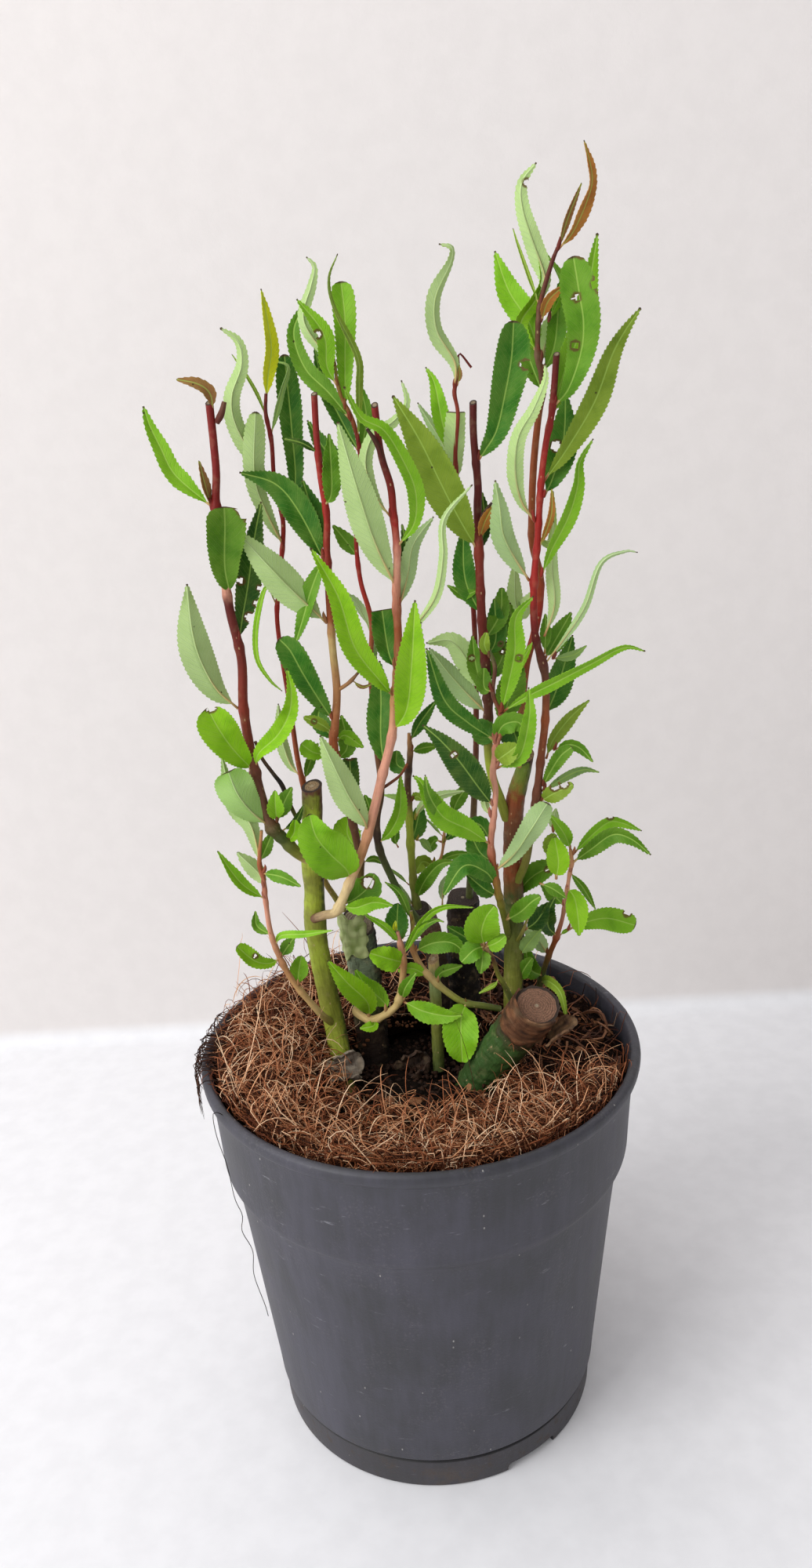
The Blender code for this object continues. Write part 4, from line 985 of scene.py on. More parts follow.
def leaf(name, stems, points, width, reach, facing, shape="lance", tone="mid", bites=()):
    """One leaf: (its blade, its rib). Points lead from foot to tip on the board; reach moves the tip away
    from the viewer; facing turns the blade about its midrib, 180 showing the underside; a pair twists it."""
    foot = depth_at(stems, *points[0])
    share = [i / (len(points) - 1) for i in range(len(points))]
    spine = [at(x, z, foot + reach * math.sin(0.5 * math.pi * s)) for (x, z), s in zip(points, share)]
    length = smooth_path(spine, 20)[1]
    rows = min(BLADE_ROWS, key=lambda r: abs(r - length / 0.42))
    model = blade_model(rows)
    flat = points_of(model) * MM
    side, t = flat[:, 0], (flat[:, 1] + 1) / 2
    spine, length = smooth_path(spine, rows + 1)
    row = np.rint(t * rows).astype(int)
    way = unit(np.gradient(spine, axis=0))
    sight = unit(SIGHT - spine)
    across = unit(np.cross(way, sight))
    first, last = facing if isinstance(facing, tuple) else (facing, facing + draw.normal(0, 10))
    turn = np.radians(np.linspace(first, last, rows + 1))[:, None]
    across = across * np.cos(turn) + np.cross(way, across) * np.sin(turn)
    face = np.cross(across, way)
    stalk = min(0.22, (1.5 + 0.03 * length) / length)
    u = np.clip((np.linspace(0, 1, rows + 1) - stalk) / (1 - stalk), 0, 1)
    half = 0.5 * width * np.maximum(PROFILES[shape](np.clip(u, 1e-4, 1 - 1e-4)), 0) + 0.05
    teeth = (np.arange(rows + 1) % TOOTH_ROWS) / (TOOTH_ROWS - 1) * min(0.46, 0.06 * width) * (u > 0.06)
    edge = np.abs(side) > 0.99
    out = np.abs(side) * half[row] + np.where(edge, teeth[row], 0)
    fold = math.tan(math.radians(draw.uniform(16, 30)))
    waves = draw.uniform(0.02, 0.06) * width * np.sin(
        draw.uniform(9, 19) * t + np.sign(side) * 1.3 + draw.uniform(0, 6))
    lift = fold * out * (1 - 0.25 * np.abs(side)) + waves * side ** 2 * (half[row] > 1)
    places = spine[row] + across[row] * (np.sign(side) * out)[:, None] + face[row] * lift[:, None]
    blade = copy_of(model, name)
    move_points(blade, places)
    hurt = np.zeros(len(places))
    if bites:
        seen = on_board(places)
        for x, z, r in bites:
            hurt = np.maximum(hurt, np.clip(1.6 + (r - np.hypot(seen[:, 0] - x, seen[:, 1] - z)) / 0.8, 0, 1))
    paint(blade, "tone", np.broadcast_to(GREENS[tone] * draw.uniform(0.88, 1.1), (len(places), 3)))
    paint(blade, "veins", np.column_stack([side * half[row], t * length, np.full(len(places), draw.uniform(0, 90))]))
    paint(blade, "share", np.column_stack([np.abs(side), u[row], hurt]))
    if bites:
        bite(blade, seen, bites)
    stiff = np.interp(np.linspace(0, 1, rows + 1), [0, stalk, 0.6, 1], [0.62, 0.5, 0.27, 0.06])
    stiff *= min(1.0, 0.45 + width / 14)
    rib = spine - face * (0.75 * stiff * (u > 0))[:, None]
    shades = np.stack([np.interp(np.linspace(0, 1, 31), [0, stalk, 0.4, 1],
                                 [BARK["rust"][i], BARK["straw"][i], BARK["pale_green"][i], GREENS["pale"][i]])
                       for i in range(3)], axis=1)
    return blade, tube(name + "_rib", np.column_stack([rib, stiff]), 6, 31, shades, lumps=0)


def bite(blade, seen, bites):
    """Deletes the faces of a leaf that lie within a bite or a hole (x, z, radius on the board)."""
    bpy.ops.object.select_all(action="DESELECT")
    blade.select_set(True)
    bpy.context.view_layer.objects.active = blade
    start_edit("FACE")
    bpy.ops.mesh.select_all(action="DESELECT")
    bpy.ops.object.mode_set(mode="OBJECT")
    for face in blade.data.polygons:
        x0, z0 = seen[list(face.vertices)].mean(axis=0)
        face.select = any(math.hypot(x0 - x, z0 - z) < r for x, z, r in bites)
    start_edit("FACE")
    bpy.ops.mesh.delete(type="FACE")
    bpy.ops.object.mode_set(mode="OBJECT")


# %% Leaf surfaces
def leaf_look(name, under):
    """The upper face: the leaf's own green, pale veins, specks. The underside: dull and blue-grey."""
    f = Finish(name, Specular_IOR_Level=0.12 if under else 0.2)
    tone, veins = f.attribute("tone"), f.attribute("veins", out="Vector")
    part = f.attribute("share", out="Vector")
    across, along = (f.node("SeparateXYZ", {}, veins, out=axis) for axis in "XY")
    side, share, hurt = (f.node("SeparateXYZ", {}, part, out=axis) for axis in "XYZ")
    away = abs(across)
    bent = along - away * 1.15 + f.noise(veins, 3.0, 2) * 1.6
    line = abs(f.node("Math", {"operation": "FRACT"}, bent / 2.3) - 0.5)
    side_vein = line.over(0.09, 0.02) * away.over(0.1, 0.6)
    net = f.cells(veins, 0.75, feature="DISTANCE_TO_EDGE").over(0.1, 0.02)
    rib = away.over(0.42, 0.16)
    cloud = f.noise(veins, 8, 4)
    fine = f.noise(veins, 0.5, 3)
    if under:
        base = f.mix(0.45, tone, srgb(192, 214, 158))
        base = f.mix(cloud.over(0.35, 0.75) * 0.35, base, f.mix(1.0, base, (0.72, 0.8, 0.66), "MULTIPLY"))
        colour = f.mix(side_vein * 0.2 + net * 0.08, base, srgb(196, 216, 178))
        colour = f.mix(rib * 0.75, colour, srgb(208, 222, 184))
        colour = f.mix(share.over(0.72, 1.0) * 0.4, colour, tone)
    else:
        light = f.mix(0.16, tone, srgb(210, 226, 110))
        dark = f.mix(1.0, tone, (0.55, 0.62, 0.5), "MULTIPLY")
        base = f.mix(cloud.over(0.35, 0.7) * 0.5, tone, light)
        base = f.mix(cloud.over(0.5, 0.25) * 0.5, base, dark)
        base = f.mix(side.over(0.8, 1.0) * 0.35, base, light)
        colour = f.mix(side_vein * 0.14 + net * 0.06, base, srgb(150, 184, 92))
        colour = f.mix(rib * 0.5, colour, srgb(170, 202, 96))
    specks = f.cells(veins, 5.5)
    chance = f.node("SeparateColor", {}, f.cells(veins, 5.5, out="Color"), out="Red")
    colour = f.mix(specks.over(0.09, 0.06) * chance.over(0.8, 0.82) * 0.85, colour, srgb(58, 44, 24))
    colour = f.mix(share.over(0.975, 0.995), colour, srgb(70, 48, 30))
    colour = f.mix(side.over(0.97, 1.0) * fine.over(0.55, 0.62) * 0.6, colour, srgb(76, 66, 30))
    colour = f.mix(hurt.over(0.25, 0.9) * 0.85, colour, srgb(96, 66, 36))
    relief = side_vein * (0.5 if under else -0.5) + rib * (1.0 if under else -0.8) + net * 0.2 + fine * 0.15
    return f.dress(colour, (0.62 if under else 0.4) + 0.16 * cloud, relief, 0.14)


blade_top, blade_under = leaf_look("leaf_top", False), leaf_look("leaf_under", True)
stem_bark = bark_look("rod_bark", 0.1, 0.34, 0.5)
stem_cut = cut_look("rod_cut", (150, 116, 84), 1.1)

# %% [markdown]
# ## Growing a shoot
# A shoot is one grown thing: stem, side twigs, buds and leaves. Where a leaf sits the stem swells, and a
# bud lies in the corner above the leaf's foot. All the parts are made in millimetres, then joined.

# %% Shoot builder
def bud(name, foot, way, aim, size, shade):
    """A small pointed bud that lies against the stem."""
    steps = np.linspace(0, 1, 9)[:, None]
    path = foot + size * (way * steps + aim * (0.30 * np.sin(steps * 2.2)))
    thick = size * np.interp(steps[:, 0], [0, 0.15, 0.4, 0.75, 1], [0.12, 0.2, 0.21, 0.12, 0.015])
    return tube(name, np.column_stack([path, thick]), 8, 9, np.tile(shade, (9, 1)), lumps=0.02)


def join(name, pieces):
    """One object from many."""
    bpy.ops.object.select_all(action="DESELECT")
    for piece in pieces:
        piece.select_set(True)
    bpy.context.view_layer.objects.active = pieces[0]
    bpy.ops.object.join()
    pieces[0].name = pieces[0].data.name = name
    return pieces[0]


def grow(name, stems, leaves, slim=0.92):
    """A leafy shoot. stems: (stations, bark ramp), the main one first; leaves: the rows for leaf()."""
    wood, blades = [], []
    feet = [row[0][0] for row in leaves]
    for number, (stations, ramp) in enumerate(stems):
        path = [(*at(x, z, depth), slim * radius) for x, z, depth, radius in stations]
        rings = 201 if len(stations) > 8 else 81 if len(stations) > 3 else 31
        spaced, _ = smooth_path(stations, rings)
        run = np.linspace(0, smooth_path(path, rings)[1], rings)
        swell = []
        for x, z in feet:
            away = np.hypot(spaced[:, 0] - x, spaced[:, 1] - z)
            if away.min() < 3.2 and 0.03 < away.argmin() / rings < 0.97:
                swell.append((run[away.argmin()], 0.14 * spaced[away.argmin(), 3] + 0.05, 1.8))
        cut = (-0.15, -0.55, 0.8) if stations[-1][3] > 1.2 else None
        piece = tube(f"{name}_stem_{number}", path, 14, rings, bark_at(spaced[:, 1], ramp), swell, 0.025, cut)
        sawn_end(piece, path, 1)
        wood.append(piece)
    for number, (points, *rest) in enumerate(leaves):
        blade, rib = leaf(f"{name}_leaf_{number}", stems, points, *rest)
        blades.append(blade)
        wood.append(rib)
        main = stems[0][0]
        near = min(main, key=lambda s: math.hypot(s[0] - points[0][0], s[1] - points[0][1]))
        if len(rest) and rest[0] > 3 and draw.uniform() < 0.8:
            foot = at(*points[0], depth_at(stems, *points[0]) - 0.4 * near[3])
            aim = unit(at(*points[1], 0) - at(*points[0], 0))
            shade = bark_at(np.array([points[0][1]]), stems[0][1])[0] * 0.5 + BARK["red_brown"] * 0.4
            wood.append(bud(f"{name}_bud_{number}", foot, np.array([0.1 * aim[0], 0, 1.0]), aim,
                            draw.uniform(2.6, 4.2), shade))
    for piece in wood:
        for material in (stem_bark, stem_cut):
            piece.data.materials.append(material)
    green = join(name + "_leaves", blades)
    green.data.materials.clear()
    for material in (blade_top, blade_under):
        green.data.materials.append(material)
    for face in green.data.polygons:
        face.material_index = 0
    body = green.modifiers.new("thickness", "SOLIDIFY")
    body.thickness, body.offset, body.material_offset = 0.00022, 0.0, 1
    settle(green)
    stem = join(name + "_stems", wood)
    keep(green, ["shoot_" + name], "shoot", smooth=60)
    keep(stem, ["shoot_" + name], "shoot", smooth=60)

# %% [markdown]
# ## The left shoots
# Each row of a shoot's list is one leaf: its midrib on the board from foot to tip, its width, how far its
# tip leans back, how it is turned, then its outline, its green, and any bites. The tall red rod comes first.

# %% Tall left rod
grow("left_tall", [
    ([(-42, 264.5, 8, 2.9), (-46.5, 267.5, 4, 2.7), (-51, 273, 2, 2.6), (-56, 280, 0, 2.5), (-58.8, 293, 0, 2.2),
      (-61, 310, 0, 2.1), (-62.3, 330, 0, 2.1), (-61.2, 350, 0, 2.0), (-64, 372, 0, 1.9), (-65, 405, 0, 1.7),
      (-63.6, 420, 0, 1.6), (-63.4, 432, 0, 1.6), (-63.5, 445, 0, 1.6)],
     [(264, "straw"), (268, "olive"), (276, "moss"), (284, "brown"), (300, "umber"), (330, "red_brown"),
      (372, "wine"), (378, "pink"), (386, "red_brown"), (404, "deep_red"), (446, "deep_red")]),
    ([(-61.5, 438, 0, 1.2), (-59.5, 441, -1, 1.2), (-58, 445, -1, 1.0)], [(438, "wine"), (445, "brown")]),
    ([(-59, 316, 1, 0.7), (-57, 309, 2, 0.8), (-53, 302, 3, 0.9), (-50, 297, 4, 1.1), (-48, 290, 5, 1.0),
      (-44, 279, 8, 0.9)], [(279, "olive"), (290, "dark"), (300, "black"), (316, "brown")]),
], [
    ([(-62.5, 442), (-63, 448), (-67, 451.5), (-74.5, 453.5)], 4.6, -5, (10, 30), "strap", "dry"),
    ([(-66.2, 408), (-75, 416), (-80, 422), (-83, 430), (-86, 438), (-87.5, 445)], 7, 6, (20, 5), "strap", "fresh"),
    ([(-66.3, 406), (-67.6, 412), (-68.6, 418), (-69.5, 425)], 3.8, -1, (60, 30), "lance", "dry"),
    ([(-63, 375), (-64, 384), (-63.5, 392), (-62.5, 400), (-62, 408)], 16, -9, (0, 14), "square", "mid",
     [(-54.5, 408, 3.4), (-54, 404, 1.6)]),
    ([(-65, 408), (-61, 405), (-58, 402), (-55, 399)], 5.5, -1, (-30, -40), "lance", "fresh"),
    ([(-61.5, 356), (-59.5, 365), (-56, 378), (-52, 395), (-48, 409)], 9.5, 9, (20, 0), "lance", "dark",
     [(-56.5, 366, 1.5), (-58.5, 380, 1.1), (-53.2, 371, 0.9), (-51.5, 377, 0.7)]),
    ([(-64.5, 330), (-72, 338), (-77, 350), (-79, 362), (-79, 380)], 12.5, -8, 196, "lance", "pale"),
    ([(-61, 304), (-68, 313), (-73, 322), (-76.5, 331)], 17, -12, (12, -8), "blunt", "lime", [(-75.2, 331.5, 2.2)]),
    ([(-60, 305), (-58, 311), (-50, 318), (-44.5, 327), (-43, 336), (-44, 345)], 7, -16, (-30, 20), "lance", "lime"),
    ([(-57, 280), (-63, 286), (-68, 294), (-71, 304)], 18, -10, (165, 178), "blunt", "fresh"),
    ([(-53.5, 281), (-53.5, 288), (-53, 295)], 6.5, -4, 10, "lance", "fresh"),
    ([(-53.5, 281), (-50, 289), (-46, 296)], 7, 3, 0, "lance", "mid"),
    ([(-52, 277), (-46, 281), (-42, 288)], 3, 4, 20, "lance", "dark"),
    ([(-50, 272), (-47, 276), (-46, 282)], 5, -4, 0, "oval", "lime"),
])

# %% Thin red rod
grow("thin_red", [
    ([(-29, 240, 24, 1.6), (-32, 246, 22, 1.5), (-36.5, 256, 20, 1.4), (-39.5, 275, 19, 1.4),
      (-41, 294, 18, 1.3), (-42.8, 308, 18, 1.2), (-44, 330, 18, 1.1), (-46, 362, 18, 1.0),
      (-44, 378, 18, 1.0), (-40.5, 400, 18, 1.0), (-42.4, 415, 18, 0.9), (-42.2, 430, 18, 0.9),
      (-43.4, 440, 18, 0.8), (-42.7, 447, 18, 0.7)],
     [(240, "olive"), (270, "tan"), (300, "rust"), (330, "red_brown"), (370, "red"), (430, "deep_red"),
      (447, "wine")]),
], [
    ([(-42.9, 444), (-41.5, 453), (-39.5, 462), (-40, 471), (-41.3, 482)], 6, 4, (24, 50), "lance", "yellow"),
    ([(-42.3, 413), (-50, 426), (-55, 438), (-55, 447), (-50.5, 457), (-51, 465), (-57, 470)], 6.5, -6, (205, 160),
     "strap", "pale"),
    ([(-41, 392), (-46, 404), (-49.5, 418), (-47, 441)], 9.5, -5, (196, 182), "blunt", "pale"),
    ([(-41.5, 405), (-35, 414), (-34.5, 435), (-35, 460)], 10.5, 10, 6, "blunt", "deep"),
    ([(-42, 300), (-46, 306), (-48.5, 318), (-48.5, 331)], 5, 8, 200, "lance", "pale"),
    ([(-45.6, 370), (-49, 377), (-54, 363), (-55, 350), (-51, 341), (-46.5, 336)], 2.6, -7, 40, "strap", "lime"),
    ([(-43, 438), (-46, 447), (-50, 455), (-53.7, 461)], 1.4, 3, 30, "strap", "olive"),
    ([(-42.4, 432), (-37, 447), (-34, 455.5), (-39.3, 458)], 2.6, 8, (20, 60), "strap", "grey"),
    ([(-41, 298), (-38, 306), (-34, 314)], 4, 6, 20, "lance", "mid"),
])

# %% Inner left rod
grow("left_inner", [
    ([(-22, 236, 27, 1.9), (-21.5, 250, 18, 1.8), (-20.6, 262, 12, 1.8), (-22, 275, 8, 1.8), (-25, 292, 5, 1.8),
      (-28, 312, 4, 1.8), (-26.6, 322, 4, 1.8), (-25, 336, 4, 1.7), (-25.5, 355, 4, 1.6), (-25, 388, 4, 1.5),
      (-24, 402, 4, 1.4), (-25.2, 418, 4, 1.4), (-25.6, 431, 4, 1.3), (-25.3, 446, 4, 1.3)],
     [(236, "olive"), (268, "brown"), (290, "umber"), (320, "rust"), (345, "tan"), (356, "straw"), (368, "rust"),
      (386, "red_brown"), (410, "red"), (446, "deep_red")]),
    ([(-25, 335, 4, 0.9), (-20, 338, 2, 0.8), (-15, 343, 0, 0.5)], [(335, "tan"), (343, "dark")]),
], [
    ([(-26, 385), (-34, 404), (-42, 415), (-55, 420)], 11, 6, (15, -15), "lance", "deep"),
    ([(-27, 362), (-38, 374), (-48, 386), (-58, 399)], 12.5, -9, (192, 176), "lance", "pale"),
    ([(-26, 388), (-32, 375), (-36, 364), (-40, 354)], 6.5, -4, 20, "lance", "mid"),
    ([(-25, 388), (-27, 398), (-30, 408), (-32, 416)], 8, 8, 10, "lance", "deep"),
    ([(-24.5, 406), (-21.5, 412), (-21, 432)], 7, -6, 12, "lance", "mid"),
    ([(-25, 425), (-31, 429), (-37.5, 431)], 2.4, -4, 20, "strap", "dark"),
    ([(-27.5, 323), (-33, 333), (-38, 343), (-42, 352), (-46, 357)], 12.5, -11, (4, -12), "blunt", "deep"),
    ([(-28, 318), (-33, 322), (-39, 325)], 4.5, -4, 15, "oval", "olive", [(-35, 323, 0.6)]),
    ([(-30, 309), (-36, 310), (-41, 314)], 8, -6, 10, "blunt", "fresh"),
    ([(-27, 314), (-33, 324), (-31, 330)], 7, 9, 0, "lance", "deep"),
    ([(-27.5, 306), (-22.5, 312), (-24, 325)], 7, 9, 0, "lance", "mid"),
    ([(-27, 314), (-23, 316.5), (-16, 311)], 5.5, 4, 15, "lance", "fresh"),
    ([(-21, 266), (-25, 274), (-24, 282)], 12, 6, 0, "oval", "lime"),
    ([(-22, 284), (-22, 295), (-22, 307)], 6.5, 5, 4, "cut", "dark", [(-22, 308, 1.6)]),
    ([(-15, 343), (-13, 347), (-12, 352)], 1.6, -2, 20, "strap", "dry"),
    ([(-19, 339), (-15, 336), (-11, 337)], 1.6, 2, 30, "strap", "dry"),
])

# %% [markdown]
# ## The middle shoots
# In the middle a pinkish rod winds up from the heel of the left cutting, a thin dark rod stands behind it, and
# a short green one between them.

# %% Winding centre rod
grow("centre_left", [
    ([(-41.5, 237, 6, 2.2), (-37, 238.3, -1, 2.1), (-32.5, 239.3, -3, 2.1), (-29.6, 244, -4, 2.1),
      (-25, 254, -5, 2.1), (-19.5, 266, -5, 2.1), (-15, 279, -6, 2.1), (-9.5, 298, -6, 2.0), (-4.5, 315, -6, 1.9),
      (-2.6, 330, -6, 1.7), (0, 350, -6, 1.7), (0.4, 372, -6, 1.6), (1.6, 388, -6, 1.5), (1, 402, -6, 1.5),
      (0.5, 412, -6, 1.5), (-2.4, 424, -6, 1.4), (-3.7, 441, -6, 1.4)],
     [(237, "umber"), (240, "cream"), (252, "cream"), (266, "tan"), (290, "pink"), (316, "pink"), (330, "tan"),
      (360, "rust"), (385, "pink"), (398, "red"), (420, "wine"), (441, "deep_red")]),
    ([(-2, 422, -7, 0.9), (-4, 428, -8, 1.0), (-7, 433, -9, 0.6)], [(422, "wine"), (433, "dark")]),
    ([(-10, 293, -4, 0.7), (-6, 295.5, -2, 0.7), (-2, 298.5, 2, 0.6), (1, 303, 6, 0.6)],
     [(293, "umber"), (303, "rust")]),
], [
    ([(-25, 254), (-27, 259), (-33, 266), (-38, 274), (-40, 284)], 18, -9, (6, -6), "oval", "fresh"),
    ([(-17, 275), (-18, 280), (-23, 290), (-28, 303), (-33, 317)], 11, -10, 192, "lance", "pale"),
    ([(-28.8, 243), (-24, 245), (-18, 250), (-15, 256)], 13, 8, 0, "oval", "mid", [(-18, 252, 2.4)]),
    ([(-30, 242), (-24, 241), (-16, 243), (-8, 241)], 7, -6, 20, "lance", "fresh"),
    ([(-8, 301), (-9, 314), (-8, 330), (-7.5, 346)], 10.5, 10, 0, "lance", "deep"),
    ([(-4, 317), (2, 326), (5, 345), (7.5, 369)], 11.5, -12, (5, -5), "lance", "lime"),
    ([(-2.6, 331), (-8, 338), (-17, 352), (-22, 372), (-31, 391)], 9.5, -14, (6, 12), "lance", "lime"),
    ([(-1.5, 342), (-4, 350), (-5.5, 366)], 9.5, 7, 0, "cut", "deep"),
    ([(0.5, 374), (-6, 390), (-11, 408), (-17.5, 436)], 12, -9, (190, 178), "lance", "pale"),
    ([(1.2, 389), (8.5, 398), (9.5, 410), (5, 422), (-1, 432), (-9, 437), (-14.5, 448)], 6.5, -16, (10, 40),
     "strap", "fresh"),
    ([(0.5, 400), (-5, 408), (-8.3, 420), (-5, 430), (3, 435), (8, 441), (6.5, 449)], 5, 13, (200, 150),
     "strap", "pale"),
    ([(0, 378), (-4, 390), (-6, 405)], 5, 8, 0, "lance", "mid"),
    ([(1, 366), (5, 378), (8, 390), (16, 400)], 6, 7, 190, "lance", "grey"),
    ([(1, 368), (4, 376), (5, 388), (4, 398)], 5, 10, 5, "lance", "dark"),
    ([(0, 352), (9, 361), (16, 371), (19, 385), (20, 399), (31, 411)], 3.4, -7, (150, 200), "strap", "pale"),
])

# %% Thin centre rod
grow("centre_thin", [
    ([(3, 232, 23, 1.8), (-3, 242, 18, 1.7), (-8.5, 255, 16, 1.7), (-12.5, 268, 14, 1.7), (-12.6, 280, 13, 1.6),
      (-10, 294, 12, 1.5), (-11.5, 320, 11, 1.2), (-11, 345, 10, 1.1), (-9.8, 362, 10, 1.1), (-13, 378, 10, 1.0),
      (-13.5, 395, 10, 0.9), (-11, 412, 10, 0.9), (-10, 424, 10, 0.8), (-12, 436, 10, 0.8),
      (-16, 446, 10, 0.7), (-17.6, 459, 10, 0.6), (-19, 466, 10, 0.6)],
     [(232, "dull_green"), (255, "moss"), (275, "dark"), (300, "brown"), (360, "rust"), (375, "red"), (430, "deep_red"),
      (466, "olive")]),
], [
    ([(-16.5, 448), (-20, 455), (-20.5, 466), (-29, 478)], 6.5, -4, (10, 30), "lance", "fresh", [(-22.5, 466, 1.1)]),
    ([(-14.5, 440), (-13.5, 455), (-12.5, 470), (-13, 483)], 9, 6, 2, "square", "fresh"),
    ([(-10.5, 428), (-9, 448), (-9, 458), (-16, 474), (-17.3, 484), (-13.5, 492)], 3.6, -5, (30, 70), "strap", "olive"),
    ([(-10, 424), (-7, 437), (-9, 450)], 5, 6, 10, "lance", "mid"),
    ([(-12.5, 436), (-20, 446), (-28, 455), (-31, 467), (-26, 477)], 7, 8, (14, -10), "strap", "mid"),
    ([(-17, 455), (-25, 466), (-27, 473), (-23.5, 482), (-22, 488), (-24.5, 491.5)], 4.4, 3, (200, 150), "strap",
     "pale"),
    ([(-11, 412), (-17, 418), (-24, 428), (-28.5, 437)], 7.5, 6, 20, "lance", "deep"),
    ([(-13, 386), (-17, 392), (-22, 399)], 6, 7, 10, "lance", "mid"),
    ([(-11, 340), (-10, 356), (-15, 369), (-19, 373)], 6.5, 8, (30, 170), "strap", "grey", [(-12, 350, 1.0)]),
    ([(-12.5, 276), (-15, 284), (-17, 291)], 6.5, 8, 10, "lance", "mid"),
    ([(-13, 269), (-7, 275), (-3, 284), (-2, 299)], 6, -6, 10, "lance", "fresh"),
    ([(-10, 424), (-16, 436), (-22, 450), (-24, 462)], 6, 9, 8, "lance", "deep"),
])

# %% Short centre rod and the twig behind it
grow("centre_short", [
    ([(4.5, 233, 29, 2.4), (1.5, 243, 28, 2.2), (0.7, 262, 26, 2.1), (0.6, 280, 26, 2.0), (0.8, 295, 26, 1.9),
      (2.4, 307, 26, 1.5), (2.4, 316, 26, 0.9)],
     [(233, "moss"), (255, "olive"), (280, "lime"), (288, "brown"), (302, "dark"), (316, "tan")]),
    ([(1.5, 247, 28, 1.0), (8, 255, 30, 0.9), (13, 262, 31, 0.8), (15, 275, 31, 0.7), (16, 283, 31, 0.6)],
     [(247, "olive"), (262, "tan"), (283, "pink")]),
], [
    ([(2.4, 308), (8, 309.5), (14, 310)], 4.5, 6, 10, "lance", "mid"),
    ([(2.4, 312), (7, 320), (14, 329)], 5, 8, 20, "lance", "deep"),
    ([(2, 300), (-3, 303), (-3, 309)], 7, 8, 0, "oval", "deep"),
    ([(0.8, 283), (-2, 288), (-9.5, 290.5)], 3, 9, 20, "lance", "grey"),
    ([(0.8, 268), (3, 275), (6, 286)], 8.5, 9, 0, "lance", "deep"),
    ([(0.8, 253), (5, 260), (10, 258)], 6, 9, 10, "lance", "olive"),
    ([(1.5, 243), (6, 252), (12, 258.5), (19, 259.5)], 6.6, -9, (0, 20), "lance", "mid"),
    ([(9, 258.5), (18, 262.3), (26.5, 262.5)], 3.4, 5, 10, "lance", "mid"),
    ([(0.5, 240), (-3, 245), (-5, 250.5)], 3.2, -6, 190, "lance", "pale"),
    ([(-1, 250), (-5, 254.5), (-11, 259.5)], 1.5, -2, 20, "strap", "grey"),
    ([(3, 279), (6, 284.5), (13, 288.5), (24, 290.3)], 4, -6, 195, "lance", "pale"),
    ([(18, 279), (20.5, 286), (26.5, 294.5)], 6, 5, 10, "lance", "mid"),
    ([(12.5, 240), (13.5, 249), (20, 256)], 3.6, 4, 190, "lance", "grey"),
    ([(14.3, 270.5), (10, 276), (7, 279.5)], 1.3, 3, 20, "strap", "grey"),
    ([(3, 270), (6, 269), (9, 264)], 3.2, 4, 10, "lance", "grey"),
    ([(-4.5, 267), (-5.8, 271), (-4, 275.5)], 3.6, 2, 10, "lance", "mid"),
    ([(2, 287), (4, 289), (6.5, 287)], 3.4, -2, 10, "lance", "olive"),
    ([(15, 276), (11, 283), (9, 291)], 4, 3, 10, "lance", "mid"),
    ([(13.3, 268.5), (10.5, 269.3), (7.8, 264.5)], 5, 3, 0, "oval", "mid"),
    ([(14, 268), (19, 273), (25, 276)], 4.5, 6, 10, "lance", "deep"),
    ([(-20, 261), (-15, 262.7), (-11, 260)], 2.8, 4, 10, "lance", "mid"),
], 0.78)

# %% [markdown]
# ## The right shoots
# The right half carries the darkest rod, cut off square, a dead-tipped thin one behind it, and two long red rods
# whose leaves are the largest of the plant.

# %% Dark middle rod and the thin rod behind
grow("mid_rod", [
    ([(40.5, 277, 17, 2.3), (38, 286, 15, 2.2), (35, 296, 13, 2.1), (33.8, 310, 12, 2.1), (34.4, 330, 11, 2.0),
      (33, 356, 10, 1.9), (32.6, 383, 10, 1.8), (32.6, 402, 10, 1.7), (33, 411, 10, 1.6), (32, 428, 10, 1.5),
      (32.2, 440, 10, 1.5)],
     [(277, "olive"), (300, "lime"), (312, "olive"), (322, "umber"), (345, "wine"), (390, "red_brown"),
      (400, "wine"), (440, "wine")]),
    ([(33, 396, 9, 0.9), (35, 400, 7, 0.9), (38, 404, 6, 0.5)], [(396, "umber"), (404, "dark")]),
], [
    ([(32, 387), (28, 394), (21, 408), (12, 428), (3, 444)], 14, -9, (4, -10), "lance", "olive"),
    ([(33, 419), (36, 423), (40.5, 430), (44, 443), (46.5, 455), (47.5, 467)], 15, -7, (4, 16), "blunt", "deep",
     [(51.5, 452, 1.5)]),
    ([(32.6, 390), (35, 397), (38.5, 403)], 5, -4, (60, 10), "lance", "bronze"),
    ([(32.6, 385), (35, 396), (34.5, 408)], 5, 6, 0, "lance", "dark"),
    ([(33, 361), (27, 376), (27, 396)], 8.5, 4, 0, "lance", "deep"),
    ([(33, 330), (30, 342), (29, 354)], 6.5, 8, 0, "lance", "mid", [(28.5, 345, 0.8)]),
    ([(34, 345), (38, 352), (38, 368)], 8.5, 8, 0, "lance", "deep", [(38, 358, 0.7), (40, 350, 0.6)]),
    ([(34, 352), (40, 362), (41, 372)], 7, 12, 0, "oval", "mid"),
    ([(34, 322), (26, 331), (19, 340), (12, 350)], 9, 9, 192, "lance", "grey"),
    ([(34, 330), (28, 342), (21, 352), (11, 352)], 9.5, 16, (200, 170), "lance", "pale"),
    ([(33, 372), (26, 370), (20, 374)], 4, 4, 10, "lance", "mid"),
    ([(34, 334), (40, 344), (44, 356), (44, 366)], 9, 10, 4, "lance", "mid", [(42, 352, 0.9), (40.5, 347, 0.7)]),
])
